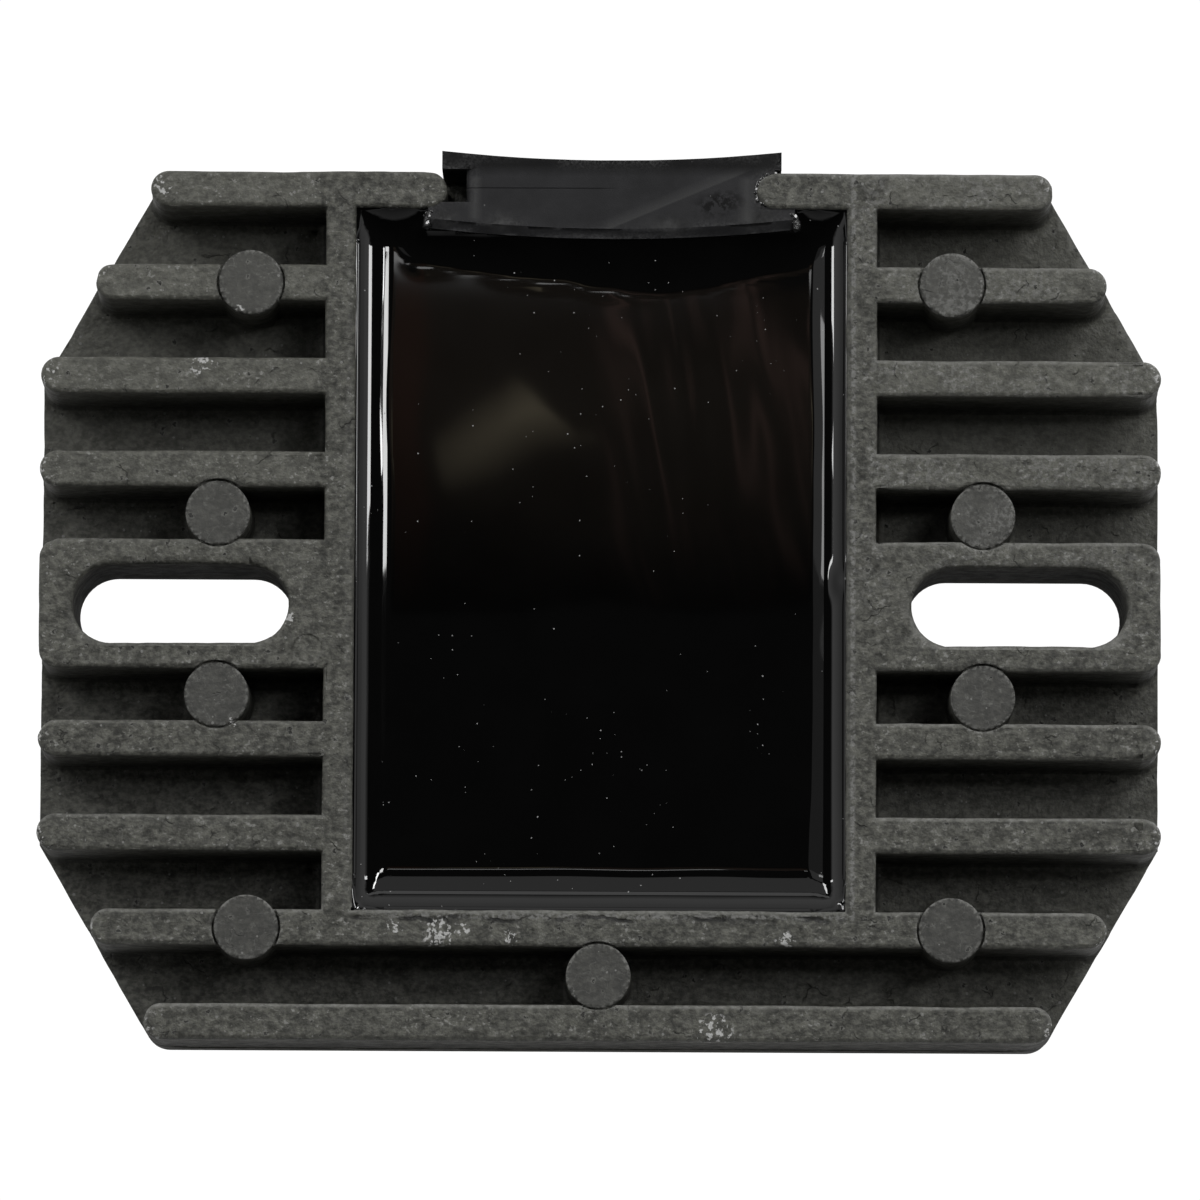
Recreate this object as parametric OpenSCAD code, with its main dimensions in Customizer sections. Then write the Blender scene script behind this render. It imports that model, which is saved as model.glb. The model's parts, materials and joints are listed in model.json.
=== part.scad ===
// Voltage regulator rectifier: a finned die casting with a resin-filled well.
// Frame: origin midway between the two mounting slots, on the flat back face.
// +X runs along the fins, +Y towards the wire grommet, +Z out of the finned side.

/* [Plate] */
// Width of the plate along the fins
plate_w = 100; // [92:0.5:120]
// Thickness of the plate
plate_t = 4.5; // [4:0.1:8]
// Width of each cut corner
corner_run = 10.4; // [6:0.2:14]
// Slope of the cut corners
corner_angle = 60; // [50:1:65]
// Bevel round the back edge
back_bevel = 0.6; // [0.2:0.1:1.2]

/* [Fins] */
// Height of the fins above the plate
fin_h = 10.5; // [9.5:0.25:16]
// Thickness of a fin near its top
fin_t = 3.2; // [2.4:0.1:4]
// Distance from the slot line to the first fin
fin_first = 12; // [11.5:0.1:14]
// Distance from fin to fin
fin_pitch = 8.35; // [7.8:0.05:10]
// Draft angle of the cast sides
draft_angle = 1; // [0.5:0.1:2]
// Radius of the top edges
edge_r = 0.5; // [0.2:0.05:0.8]
// Ledge between a fin's foot and the plate's edge
fin_inset = 0.1; // [0.05:0.05:1]
// Radius of the fillets where the fins meet the plate
fillet_r = 1; // [0.4:0.1:1.5]

/* [Well] */
// Width of the well between its walls
well_w = 43.6; // [42:0.2:46]
// Thickness of the well's side walls
wall_t = 2.7; // [2:0.1:4]
// Height of the well's floor above the back
well_floor = 3; // [2:0.1:3.4]

/* [Mounting slots] */
// Width of a slot
slot_w = 7; // [5.5:0.1:8]
// Metal left between a slot and the plate's edge
slot_edge = 3.2; // [2.5:0.1:5]
// Metal left between a slot and the well's wall
slot_wall = 3.1; // [2:0.1:5]
// Bevel round the mouth of a slot
slot_bevel = 0.3; // [0.1:0.05:0.6]
// Size of the slot bosses across the fins
boss_d = 11.5; // [10.4:0.1:13]

/* [Ejector pads] */
// Diameter of the ejector pads
pad_d = 5.7; // [5:0.1:6.5]
// Distance from the middle to the pads on the fins
fin_pad_x = 31.15; // [28:0.1:36]
// Distance from the middle to the pads beside the bosses
boss_pad_x = 33.95; // [28:0.1:42]
// Depth of the pad faces on the fins below the fin tops
pad_drop = 0.15; // [0.05:0.05:0.6]
// Depth of the pad faces in the gaps below the fin tops
gap_pad_drop = 0.3; // [0.05:0.05:0.6]
// Width of the groove between a pad and the fins beside it
pad_gap = 0.2; // [0.05:0.05:0.4]
// Depth of that groove below the fin tops
pad_groove = 0.7; // [0.65:0.05:1.2]
// Diameter of the small pin mark on the left boss
mark_d = 2.6; // [2:0.1:3]
// Depth of the small pin mark
mark_depth = 0.1; // [0.05:0.05:0.4]
// Distance from the well's wall to the middle of the small pin mark
mark_wall = 1.4; // [1:0.1:2]
// Distance from the slot line to the middle of the small pin mark
mark_y = 4; // [3.5:0.1:5]

/* [Wire grommet] */
// Width of the notch in the top wall
notch_w = 27.54; // [24:0.02:29]
// Width of the grommet's neck
neck_w = 25.8; // [22:0.1:27]
// Radius of the neck's free top edge
neck_r = 0.8; // [0.3:0.1:1.2]
// Width of the outer flange
outer_flange_w = 30.2; // [28.5:0.1:33]
// Thickness of the outer flange at its ends
outer_flange_t = 1.6; // [1:0.1:3]
// Hollow of the outer flange's face
outer_hollow = 0.8; // [0.2:0.1:0.9]
// Width of the inner flange
inner_flange_w = 32.6; // [31:0.1:36]
// Thickness of the inner flange at its middle
inner_flange_t = 2.45; // [1.8:0.05:3]
// Bow of the inner flange's face
inner_bow = 0.9; // [0.3:0.1:1.5]
// Bevel along the inner flange's top edge
lip_bevel = 0.8; // [0.2:0.1:1]
// Depth of the grommet's top below the fin tops
grommet_drop = 0.2; // [0:0.1:1]
// Height of the outer flange's foot above the back
outer_foot = 1.5; // [0.5:0.1:3]
// Diameter of a wire hole
wire_d = 3; // [2:0.1:3.5]
// Distance from wire hole to wire hole
wire_pitch = 3.9; // [3.7:0.1:4.1]

/* [Resin] */
// Depth of the resin's face below the fin tops
resin_drop = 2.2; // [1.5:0.1:2.6]
// Width of the band where the resin climbs the walls
climb_w = 3.3; // [2.5:0.1:5]
// Depth of the resin's edge below the fin tops
climb_drop = 0.7; // [0.6:0.05:1]

/* [Power devices] */
// Distance from device to device
device_pitch = 13; // [11.5:0.5:14]
// Width of a device
device_w = 10.2; // [9:0.1:10.6]
// Length of a device's moulded body
device_body = 9; // [8:0.1:9.5]
// Length of the bare part of a device's tab
tab_len = 6.4; // [5.5:0.1:6.6]
// Thickness of a device's tab
tab_t = 1.3; // [0.8:0.1:1.6]
// Height of a device's moulded body
device_h = 4.4; // [3.8:0.1:4.8]
// Diameter of the hole in a tab
tab_hole = 3.7; // [3:0.1:4]
// Width of a lead
lead_w = 0.8; // [0.6:0.05:1]
// Thickness of a lead
lead_t = 0.5; // [0.4:0.05:0.7]
// Distance from lead to lead
lead_pitch = 2.54; // [2.2:0.02:3]
// Reach of a lead from the body to its bend
lead_reach = 3.2; // [2.2:0.1:4]
// Thickness of the insulating pads
sheet_t = 0.3; // [0.1:0.05:0.5]
// Margin of an insulating pad round its devices
sheet_edge = 0.8; // [0.3:0.1:1.2]

/* [Circuit board] */
// Thickness of the board
board_t = 1.6; // [0.8:0.1:1.8]
// Clearance between the board and the well's walls
board_gap = 1.6; // [1:0.1:3]
// Room for the wires between the board and the grommet
wire_room = 4; // [2:0.5:6]
// Clearance between the device bodies and the board
board_lift = 0.7; // [0.3:0.1:1]
// Corner radius of the board
board_r = 1.5; // [0.5:0.1:3]
// Diameter of a lead hole in the board
lead_hole = 1.3; // [1.25:0.05:1.6]
// Diameter of a wire hole in the board
board_wire_hole = 2.2; // [1.5:0.1:2.6]
// Distance between the two rows of leads
lead_rows = 8.4; // [6:0.2:10]
// Length of the lead tips above the board
lead_tip = 0.9; // [0.4:0.1:1.2]

/* [Small parts] */
// Length of a chip resistor
chip_l = 3.2; // [2:0.1:3.6]
// Width of a chip resistor
chip_w = 1.6; // [1.2:0.1:2]
// Height of a chip resistor
chip_h = 0.6; // [0.4:0.05:1]
// Length of the control chip's body
control_l = 4.9; // [4:0.1:6]
// Width of the control chip's body
control_w = 3.9; // [3:0.1:4.2]
// Height of the control chip
control_h = 1.6; // [1.2:0.1:1.8]
// Length of a gate transistor's body
gate_l = 2.9; // [2.4:0.1:3.2]
// Width of a gate transistor's body
gate_w = 1.3; // [1.1:0.1:1.6]
// Height of a gate transistor
gate_h = 1; // [0.8:0.1:1.3]
// Length of the reference diode's body
reference_l = 4.3; // [3.6:0.1:5]
// Width of the reference diode's body
reference_w = 2.6; // [2:0.1:3]
// Height of the reference diode
reference_h = 1.8; // [1.2:0.1:1.9]
// Length of the filter capacitor
capacitor_l = 3.2; // [2.4:0.1:4]
// Width of the filter capacitor
capacitor_w = 2.5; // [1.6:0.1:3]
// Height of the filter capacitor
capacitor_h = 1.6; // [1:0.1:1.8]

/* [Hidden] */
$fn = 64;
// Facets of the grommet's very large arcs
arc_fn = 900;
// Overlap of solids that are fused, and overshoot of cuts
sink = 0.5;
over = 1;

// Count of fin rows on each side of the slot line; the outermost one above holds the grommet
row_count = 4;
// Number of the row below the slot line that closes the well
well_row_number = 3;
total_h = plate_t + fin_h;
// How far a fillet's centre stands off both faces, as a share of its radius
fillet_share = 0.95;
// Growth of half a cast thickness from its top to its foot
taper = fin_h * tan(draft_angle);
fin_foot = fin_t / 2 + taper;
wall_foot = wall_t / 2 + taper;
wall_x = (well_w + wall_t) / 2;

function row_y(i) = fin_first + (i - 1) * fin_pitch;
top_y = row_y(row_count);
bottom_y = -row_y(well_row_number);

plate_x = plate_w / 2;
plate_y = top_y + fin_foot + fin_inset;
corner_rise = corner_run * tan(corner_angle);
plate_points = [
  for (s = [[1, 1], [-1, 1], [-1, -1], [1, -1]])
    let (side = [s.x * plate_x, s.y * (plate_y - corner_rise)],
      end = [s.x * (plate_x - corner_run), s.y * plate_y])
    each s.x * s.y > 0 ? [side, end] : [end, side]];

// Distance of a corner cut from the origin, along the cut's normal
cut_normal = [sin(corner_angle), cos(corner_angle)];
cut_distance = cut_normal.x * plate_x + cut_normal.y * (plate_y - corner_rise);
// Where a fin's round end is centred, so that its foot just clears the plate's edge
function fin_end(y) = min(plate_x - fin_foot - fin_inset,
  (cut_distance - fin_foot - fin_inset - cut_normal.y * abs(y)) / cut_normal.x);

// Clear space of the well at its foot
well_x = wall_x - wall_foot;
well_y0 = bottom_y + fin_foot;
well_y1 = top_y - fin_foot;

notch_end = notch_w / 2 + fin_t / 2;

// A slot runs from near the well's wall to near the plate's edge
slot_x0 = wall_x + wall_t / 2 + slot_wall;
slot_x1 = plate_x - slot_edge;
slot_x = (slot_x0 + slot_x1) / 2;
slot_reach = (slot_x1 - slot_x0 - slot_w) / 2;

// Grommet: the neck leans on the wall end at +X
grommet_x = (notch_w - neck_w) / 2;
grommet_top = total_h - grommet_drop;
inner_arc = (pow(inner_flange_w / 2, 2) + pow(inner_bow, 2)) / (2 * inner_bow);
outer_arc = (pow(outer_flange_w / 2, 2) + pow(outer_hollow, 2)) / (2 * outer_hollow);
wires = 6;

resin_z = total_h - resin_drop;
climb_z = total_h - climb_drop;
climb_r = (pow(climb_w, 2) + pow(climb_z - resin_z, 2)) / (2 * (climb_z - resin_z));

device_z = well_floor + sheet_t;
lead_z = device_z + device_h / 2;
board_z = device_z + device_h + board_lift;
board_top = board_z + board_t;
board_x = well_x - board_gap;
board_y0 = well_y0 + board_gap;
board_y1 = well_y1 - inner_flange_t - wire_room;
board_y = (board_y0 + board_y1) / 2;
devices = 3;
function device_x(i) = (i - (devices + 1) / 2) * device_pitch;
thyristor_y = board_y + lead_rows / 2;
diode_y = board_y - lead_rows / 2;
device_len = device_body + tab_len;
lead_bend = 1;

// Rows of small parts, counted from the rows of leads
gate_row = 4;
gate_resistor_row = 3.6;
control_row = 5;
gate_y = thyristor_y + gate_row;
gate_resistor_y = gate_y + gate_resistor_row;
control_y = gate_resistor_y + control_row;
sense_y = diode_y - gate_row;
sense_resistors = 2;
board_wire_y = board_y1 - board_wire_hole;
// Length of the metal ends of a chip part, and how far they stand proud
chip_cap = 0.5;
cap_proud = 0.04;
// Foot and thickness of the small parts' legs
leg_foot = 0.6;
leg_t = 0.25;

// Half of a cast section: drafted side and rounded top edge, from the middle out.
// The fillet at its foot is set a little deep, so that it meets both faces at a slight angle.
module half_section(foot, fillet) {
  centre = foot - (edge_r + (fin_h - edge_r) * sin(draft_angle)) / cos(draft_angle);
  side = [centre + edge_r * cos(draft_angle), fin_h - edge_r + edge_r * sin(draft_angle)];
  deep = fillet_r * fillet_share;
  polygon([[0, -sink], [foot, -sink], [foot, 0], side, [centre, fin_h], [0, fin_h]]);
  translate([centre, fin_h - edge_r])
    circle(edge_r);
  if (fillet)
    difference() {
      translate([0, -sink])
        square([foot + fillet_r, fillet_r + sink]);
      translate([foot + deep, deep])
        circle(fillet_r);
      translate([foot, fillet_r])
        square(fillet_r);
    }
}

// Cast rib along X from x0 to x1, standing on the plate, with a round end where asked.
// fillets says which sides have a fillet at the foot: the one at +Y, then the one at -Y.
module rib(x0, x1, foot, round0 = false, round1 = false, fillets = [true, true]) {
  translate([x0, 0, plate_t])
    rotate([90, 0, 90])
      linear_extrude(x1 - x0) {
        half_section(foot, fillets[0]);
        mirror([1, 0])
          half_section(foot, fillets[1]);
      }
  for (end = [[x0, round0], [x1, round1]])
    if (end[1])
      translate([end[0], 0, plate_t])
        rotate_extrude()
          half_section(foot, fillets[0] || fillets[1]);
}

// Both halves of something that is the same left and right
module both_sides() {
  children();
  mirror([1, 0, 0])
    children();
}

module plate() {
  side = back_bevel * sqrt(2);
  count = len(plate_points);
  difference() {
    linear_extrude(plate_t)
      polygon(plate_points);
    for (i = [0 : count - 1]) {
      a = plate_points[i];
      b = plate_points[(i + 1) % count];
      translate(concat((a + b) / 2, 0))
        rotate(atan2(b.y - a.y, b.x - a.x))
          rotate([45, 0, 0])
            cube([norm(b - a) + 2 * over, side, side], center = true);
    }
  }
}

// Clear space of the well in the thickness of the plate
module well_pocket(z1) {
  translate([-well_x, well_y0, well_floor])
    cube([2 * well_x, well_y1 - well_y0, z1 - well_floor]);
}

// The well's walls along Y, with fillets outside the well only
module side_walls() {
  both_sides()
    translate([wall_x, 0, 0])
      rotate(90)
        rib(bottom_y, top_y, wall_foot, fillets = [false, true]);
}

// The fins that close the well: a whole one below, and one with the wire notch above
module end_walls() {
  both_sides() {
    translate([0, top_y, 0]) {
      rib(notch_end, wall_x, fin_foot, true, false, [false, false]);
      rib(wall_x, fin_end(top_y), fin_foot, false, true, [false, true]);
    }
    translate([0, bottom_y, 0])
      rib(wall_x, fin_end(bottom_y), fin_foot, false, true);
  }
  translate([0, bottom_y, 0])
    rib(-wall_x, wall_x, fin_foot, fillets = [false, true]);
}

module fins() {
  for (i = [1 : row_count - 1], s = [1, -1])
    if (s * row_y(i) != bottom_y)
      both_sides()
        translate([0, s * row_y(i), 0])
          rib(wall_x, fin_end(row_y(i)), fin_foot, false, true);
  translate([0, -top_y, 0])
    rib(-fin_end(top_y), fin_end(top_y), fin_foot, true, true, [true, false]);
}

// Solid block round a mounting slot, with the fins' rounded edges
module slot_boss() {
  x1 = plate_x - fin_foot - fin_inset;
  y1 = boss_d / 2 - fin_t / 2;
  for (s = [1, -1])
    translate([0, s * y1, 0])
      rib(wall_x, x1, fin_foot, false, true, [s > 0, s < 0]);
  translate([x1, 0, 0])
    rotate(90)
      rib(-y1, y1, fin_foot, fillets = [false, false]);
  translate([wall_x, -y1, plate_t - sink])
    cube([x1 - wall_x, 2 * y1, fin_h + sink]);
}

// Straight slot with a bevelled mouth
module slot_cut() {
  mouth = total_h - slot_bevel;
  translate([slot_x, 0, -over])
    linear_extrude(total_h + 2 * over) {
      square([2 * slot_reach, slot_w], center = true);
      for (x = [-slot_reach, slot_reach])
        translate([x, 0])
          circle(d = slot_w);
    }
  translate([slot_x, 0, mouth]) {
    rotate([90, 0, 90])
      translate([0, 0, -slot_reach])
        linear_extrude(2 * slot_reach) {
          slot_mouth();
          mirror([1, 0])
            slot_mouth();
        }
    for (x = [-slot_reach, slot_reach])
      translate([x, 0, 0])
        rotate_extrude()
          slot_mouth();
  }
}

module slot_mouth() {
  polygon([[0, 0], [slot_w / 2, 0], [slot_w / 2 + slot_bevel + over, slot_bevel + over],
    [0, slot_bevel + over]]);
}

// Round post that an ejector pin of the mould pushes on
module ejector_post(drop) {
  translate([0, 0, plate_t - sink])
    cylinder(h = fin_h + sink - drop, r1 = pad_d / 2 + taper, r2 = pad_d / 2);
}

// Places of the pads in the gaps: beside the slot bosses, and between the two lowest fins
module in_gap_pads() {
  both_sides()
    for (s = [1, -1])
      translate([boss_pad_x, s * (boss_d / 2 + row_y(1) - fin_t / 2) / 2, 0])
        children();
  translate([0, -(row_y(well_row_number) + row_y(row_count)) / 2, 0])
    children();
}

// Places of the pads that stand on the fins
module on_fin_pads() {
  both_sides()
    for (s = [1, -1])
      translate([fin_pad_x, s * row_y(well_row_number), 0])
        children();
}

// Clear space that the fins leave round the top of a post
module pad_recess() {
  translate([0, 0, total_h - pad_groove])
    cylinder(h = pad_groove + over, d = pad_d + 2 * pad_gap);
}

// Everything that stands on the plate, trimmed to the plate's outline
module upper_casting() {
  difference() {
    intersection() {
      union() {
        side_walls();
        union() {
          fins();
          end_walls();
          both_sides()
            slot_boss();
        }
      }
      linear_extrude(total_h + over)
        polygon(plate_points);
    }
    on_fin_pads()
      pad_recess();
    in_gap_pads()
      pad_recess();
  }
}

module heat_sink_housing() {
  color("#4a4b47")
    difference() {
      union() {
        plate();
        upper_casting();
        on_fin_pads()
          ejector_post(pad_drop);
        in_gap_pads()
          ejector_post(gap_pad_drop);
      }
      translate([-wall_x - wall_t / 2 - mark_wall, -mark_y, total_h - mark_depth])
        cylinder(h = over, d = mark_d);
      well_pocket(plate_t + over);
      both_sides()
        slot_cut();
    }
}

// Wire holes in a row along X, cut along Y
module wire_holes(z, length) {
  for (i = [0 : wires - 1])
    translate([grommet_x + (i - (wires - 1) / 2) * wire_pitch, well_y1 - length, z])
      rotate([-90, 0, 0])
        cylinder(h = 2 * length, d = wire_d);
}

// Grommet before the walls press into it, in plan strips from the well outwards
module grommet_block() {
  inner_x = grommet_x - inner_flange_w / 2;
  outer_x = grommet_x - outer_flange_w / 2;
  face_y = well_y1 - inner_flange_t;
  lean_y = top_y - fin_t / 2 + edge_r;
  outer_y = plate_y + outer_flange_t;
  intersection() {
    translate([inner_x, face_y - over, well_floor])
      cube([inner_flange_w, inner_flange_t + over, grommet_top - well_floor]);
    translate([grommet_x, face_y + inner_arc, 0])
      rotate_extrude($fn = arc_fn)
        polygon([[0, 0], [inner_arc, 0], [inner_arc, grommet_top - lip_bevel],
          [inner_arc - lip_bevel, grommet_top], [0, grommet_top]]);
  }
  translate([inner_x, well_y1 - sink, plate_t])
    cube([inner_flange_w, lean_y - well_y1 + sink, grommet_top - plate_t]);
  translate([grommet_x - neck_w / 2, plate_y + sink, plate_t])
    rotate([90, 0, 0])
      linear_extrude(plate_y - well_y1 + 2 * sink)
        neck_section();
  difference() {
    translate([outer_x, plate_y, outer_foot])
      cube([outer_flange_w, outer_flange_t, grommet_top - outer_foot]);
    translate([grommet_x, outer_y + outer_arc - outer_hollow, 0])
      cylinder(h = total_h + over, r = outer_arc, $fn = arc_fn);
  }
}

// Section of the neck: rounded where it is free, and reaching round the wall end that it leans on
module neck_section() {
  width = neck_w + fin_t / 2;
  height = grommet_top - plate_t;
  square([width, height - neck_r]);
  translate([neck_r, 0])
    square([width - neck_r, height]);
  translate([neck_r, height - neck_r])
    circle(neck_r);
}

module wire_grommet() {
  color("#2b2b2c")
    difference() {
      grommet_block();
      end_walls();
      wire_holes((plate_t + grommet_top) / 2, plate_y);
    }
}

// Space above the resin: flat in the middle, curving up to the walls
module resin_dish() {
  x1 = well_w / 2;
  y0 = bottom_y + fin_t / 2;
  y1 = top_y - fin_t / 2;
  middle = [0, (y0 + y1) / 2, resin_z];
  flat = [x1 - climb_w, (y1 - y0) / 2 - climb_w];
  translate(middle) {
    translate([-flat.x, -flat.y, 0])
      cube([2 * flat.x, 2 * flat.y, resin_drop]);
    both_sides() {
      translate([flat.x, flat.y, 0])
        rotate([90, 0, 0])
          linear_extrude(2 * flat.y)
            climb_section();
      for (s = [1, -1])
        translate([flat.x, s * flat.y, 0])
          rotate_extrude()
            climb_section();
    }
    for (turn = [90, -90])
      rotate(turn)
        translate([flat.y, flat.x, 0])
          rotate([90, 0, 0])
            linear_extrude(2 * flat.x)
              climb_section();
  }
}

module climb_section() {
  intersection() {
    square([climb_w, resin_drop]);
    translate([0, climb_r])
      circle(climb_r);
  }
}

// All that the resin is poured round
module inside_parts() {
  circuit_board();
  for (i = [1 : devices]) {
    thyristor(i);
    rectifier_diode(i);
    gate_transistor(i);
    gate_resistor(i);
  }
  thyristor_pad();
  diode_pad();
  control_chip();
  reference_diode();
  filter_capacitor();
  sense_resistor(1);
  sense_resistor(2);
}

module potting_resin() {
  inner_x = inner_flange_w / 2;
  color("#0b0b0c")
    difference() {
      union() {
        well_pocket(plate_t + sink);
        translate([-wall_x, bottom_y, plate_t])
          cube([2 * wall_x, well_y1 - bottom_y, climb_z - plate_t]);
        for (s = [-1, 1])
          translate([s < 0 ? -wall_x : grommet_x + inner_x, well_y1 - sink, plate_t])
            cube([wall_x - inner_x - s * grommet_x, fin_foot + sink, climb_z - plate_t]);
      }
      resin_dish();
      side_walls();
      end_walls();
      grommet_block();
      inside_parts();
    }
}

module circuit_board() {
  corner = [board_x - board_r, (board_y1 - board_y0) / 2 - board_r];
  color("#2f5a34")
    difference() {
      translate([0, board_y, board_z])
        linear_extrude(board_t) {
          square([2 * board_x, 2 * corner.y], center = true);
          square([2 * corner.x, board_y1 - board_y0], center = true);
          for (sx = [-1, 1], sy = [-1, 1])
            translate([sx * corner.x, sy * corner.y])
              circle(board_r);
        }
      for (i = [1 : devices]) {
        for (k = [-1, 0, 1])
          board_hole(device_x(i) + k * lead_pitch, thyristor_y, lead_hole);
        for (k = [-1, 1])
          board_hole(device_x(i) + k * lead_pitch, diode_y, lead_hole);
      }
      for (i = [0 : wires - 1])
        board_hole((i - (wires - 1) / 2) * (2 * board_x / wires), board_wire_y, board_wire_hole);
    }
}

module board_hole(x, y, d) {
  translate([x, y, board_z - over])
    cylinder(h = board_t + 2 * over, d = d);
}

// One lead: straight out of the body along -Y, round a bend, then up through the board
module device_lead() {
  top = board_top + lead_tip;
  outer = lead_bend + lead_t;
  straight = lead_reach - lead_bend;
  translate([-lead_w / 2, 0, 0])
    rotate([90, 0, 90])
      linear_extrude(lead_w) {
        translate([lead_reach - straight + lead_t / 2, lead_z - lead_t / 2])
          square([straight + sink, lead_t]);
        translate([lead_bend + lead_t / 2, lead_z + lead_t / 2 + lead_bend])
          intersection() {
            difference() {
              circle(outer);
              circle(lead_bend);
            }
            translate([-outer, -outer])
              square(outer);
          }
        translate([-lead_t / 2, lead_z + lead_t / 2 + lead_bend])
          square([lead_t, top - lead_z - lead_t / 2 - lead_bend]);
      }
}

// Power device lying on its tab; its leads rise at y = 0 and its tab points along +Y
module power_device(lead_places) {
  body_y = lead_reach + lead_t / 2;
  difference() {
    translate([-device_w / 2, body_y, device_z])
      cube([device_w, device_len, tab_t]);
    translate([0, body_y + device_body + tab_len / 2, device_z - over])
      cylinder(h = tab_t + 2 * over, d = tab_hole);
  }
  translate([-device_w / 2, body_y, device_z])
    cube([device_w, device_body, device_h]);
  for (k = lead_places)
    translate([k * lead_pitch, 0, 0])
      device_lead();
}

module thyristor(i) {
  color("#3a3a3e")
    translate([device_x(i), thyristor_y, 0])
      power_device([-1, 0, 1]);
}

module rectifier_diode(i) {
  color("#3a3a3e")
    translate([device_x(i), diode_y, 0])
      rotate(180)
        power_device([-1, 1]);
}

// Insulating pad under one row of devices; y0 and y1 are its ends
module device_pad(y0, y1) {
  half = device_x(devices) + device_w / 2 + sheet_edge;
  translate([-half, y0 - sheet_edge, well_floor])
    cube([2 * half, y1 - y0 + 2 * sheet_edge, sheet_t]);
}

module thyristor_pad() {
  body_y = thyristor_y + lead_reach + lead_t / 2;
  color("#c9c6bd")
    device_pad(body_y, body_y + device_len);
}

module diode_pad() {
  body_y = diode_y - lead_reach - lead_t / 2;
  color("#c9c6bd")
    device_pad(body_y - device_len, body_y);
}

// Chip part on the board with metal ends, its length along X
module chip_part(l, w, h) {
  translate([-l / 2 + chip_cap, -w / 2 + cap_proud, 0])
    cube([l - 2 * chip_cap, w - 2 * cap_proud, h - cap_proud]);
  for (x = [-l / 2, l / 2 - chip_cap])
    translate([x, -w / 2, 0])
      cube([chip_cap, w, h]);
}

// Leg of a small part: down from its body at x = 0 and out along +X
module small_leg(w, h) {
  translate([0, w / 2, 0])
    rotate([90, 0, 0])
      linear_extrude(w)
        polygon([[-leg_t, h / 2], [leg_foot / 2, h / 2], [leg_foot / 2, leg_t], [leg_foot, leg_t],
          [leg_foot, 0], [leg_foot / 2 - leg_t, 0], [leg_foot / 2 - leg_t, h / 2 - leg_t],
          [-leg_t, h / 2 - leg_t]]);
}

module control_chip() {
  legs = 4;
  pitch = control_l / legs;
  color("#202023")
    translate([0, control_y, board_top]) {
      translate([-control_l / 2, -control_w / 2, leg_t / 2])
        cube([control_l, control_w, control_h - leg_t / 2]);
      for (turn = [90, -90], i = [0 : legs - 1])
        rotate(turn)
          translate([control_w / 2, (i - (legs - 1) / 2) * pitch, 0])
            small_leg(pitch / 3, control_h);
    }
}

module gate_transistor(i) {
  leg_w = 0.4;
  color("#202023")
    translate([device_x(i), gate_y, board_top]) {
      translate([-gate_l / 2, -gate_w / 2, leg_t / 2])
        cube([gate_l, gate_w, gate_h - leg_t / 2]);
      for (leg = [[90, 0], [-90, -gate_l / 3], [-90, gate_l / 3]])
        rotate(leg[0])
          translate([gate_w / 2, leg[1], 0])
            small_leg(leg_w, gate_h);
    }
}

module gate_resistor(i) {
  color("#1d1d20")
    translate([device_x(i), gate_resistor_y, board_top])
      chip_part(chip_l, chip_w, chip_h);
}

module sense_resistor(i) {
  color("#1d1d20")
    translate([(i - (sense_resistors + 1) / 2) * device_pitch, sense_y, board_top])
      chip_part(chip_l, chip_w, chip_h);
}

module reference_diode() {
  color("#202023")
    translate([device_x(1), control_y, board_top]) {
      translate([-reference_l / 2, -reference_w / 2, leg_t / 2])
        cube([reference_l, reference_w, reference_h - leg_t / 2]);
      both_sides()
        translate([reference_l / 2, 0, 0])
          small_leg(reference_w / 2, reference_h);
    }
}

module filter_capacitor() {
  color("#a58a63")
    translate([device_x(devices), control_y, board_top])
      chip_part(capacitor_l, capacitor_w, capacitor_h);
}

heat_sink_housing();
potting_resin();
wire_grommet();
circuit_board();
thyristor(1);  // thyristor_1
thyristor(2);  // thyristor_2
thyristor(3);  // thyristor_3
rectifier_diode(1);  // rectifier_diode_1
rectifier_diode(2);  // rectifier_diode_2
rectifier_diode(3);  // rectifier_diode_3
thyristor_pad();
diode_pad();
control_chip();
gate_transistor(1);  // gate_transistor_1
gate_transistor(2);  // gate_transistor_2
gate_transistor(3);  // gate_transistor_3
gate_resistor(1);  // gate_resistor_1
gate_resistor(2);  // gate_resistor_2
gate_resistor(3);  // gate_resistor_3
reference_diode();
filter_capacitor();
sense_resistor(1);  // sense_resistor_1
sense_resistor(2);  // sense_resistor_2
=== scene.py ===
# %% [markdown]
# # A voltage regulator rectifier
# The object is a dark die casting with cooling fins. A well in its middle is filled with glossy black resin,
# and a rubber grommet closes the notch where the wires come out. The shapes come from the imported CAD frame,
# and this script gives them the surfaces that a camera sees. It keeps the frame's axes. Lengths are named in
# millimetres, and MM turns them into the frame's metres.

# %% Load the frame
import json
import math

import bmesh
import bpy
import numpy as np
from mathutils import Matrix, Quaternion, Vector, noise


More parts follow.
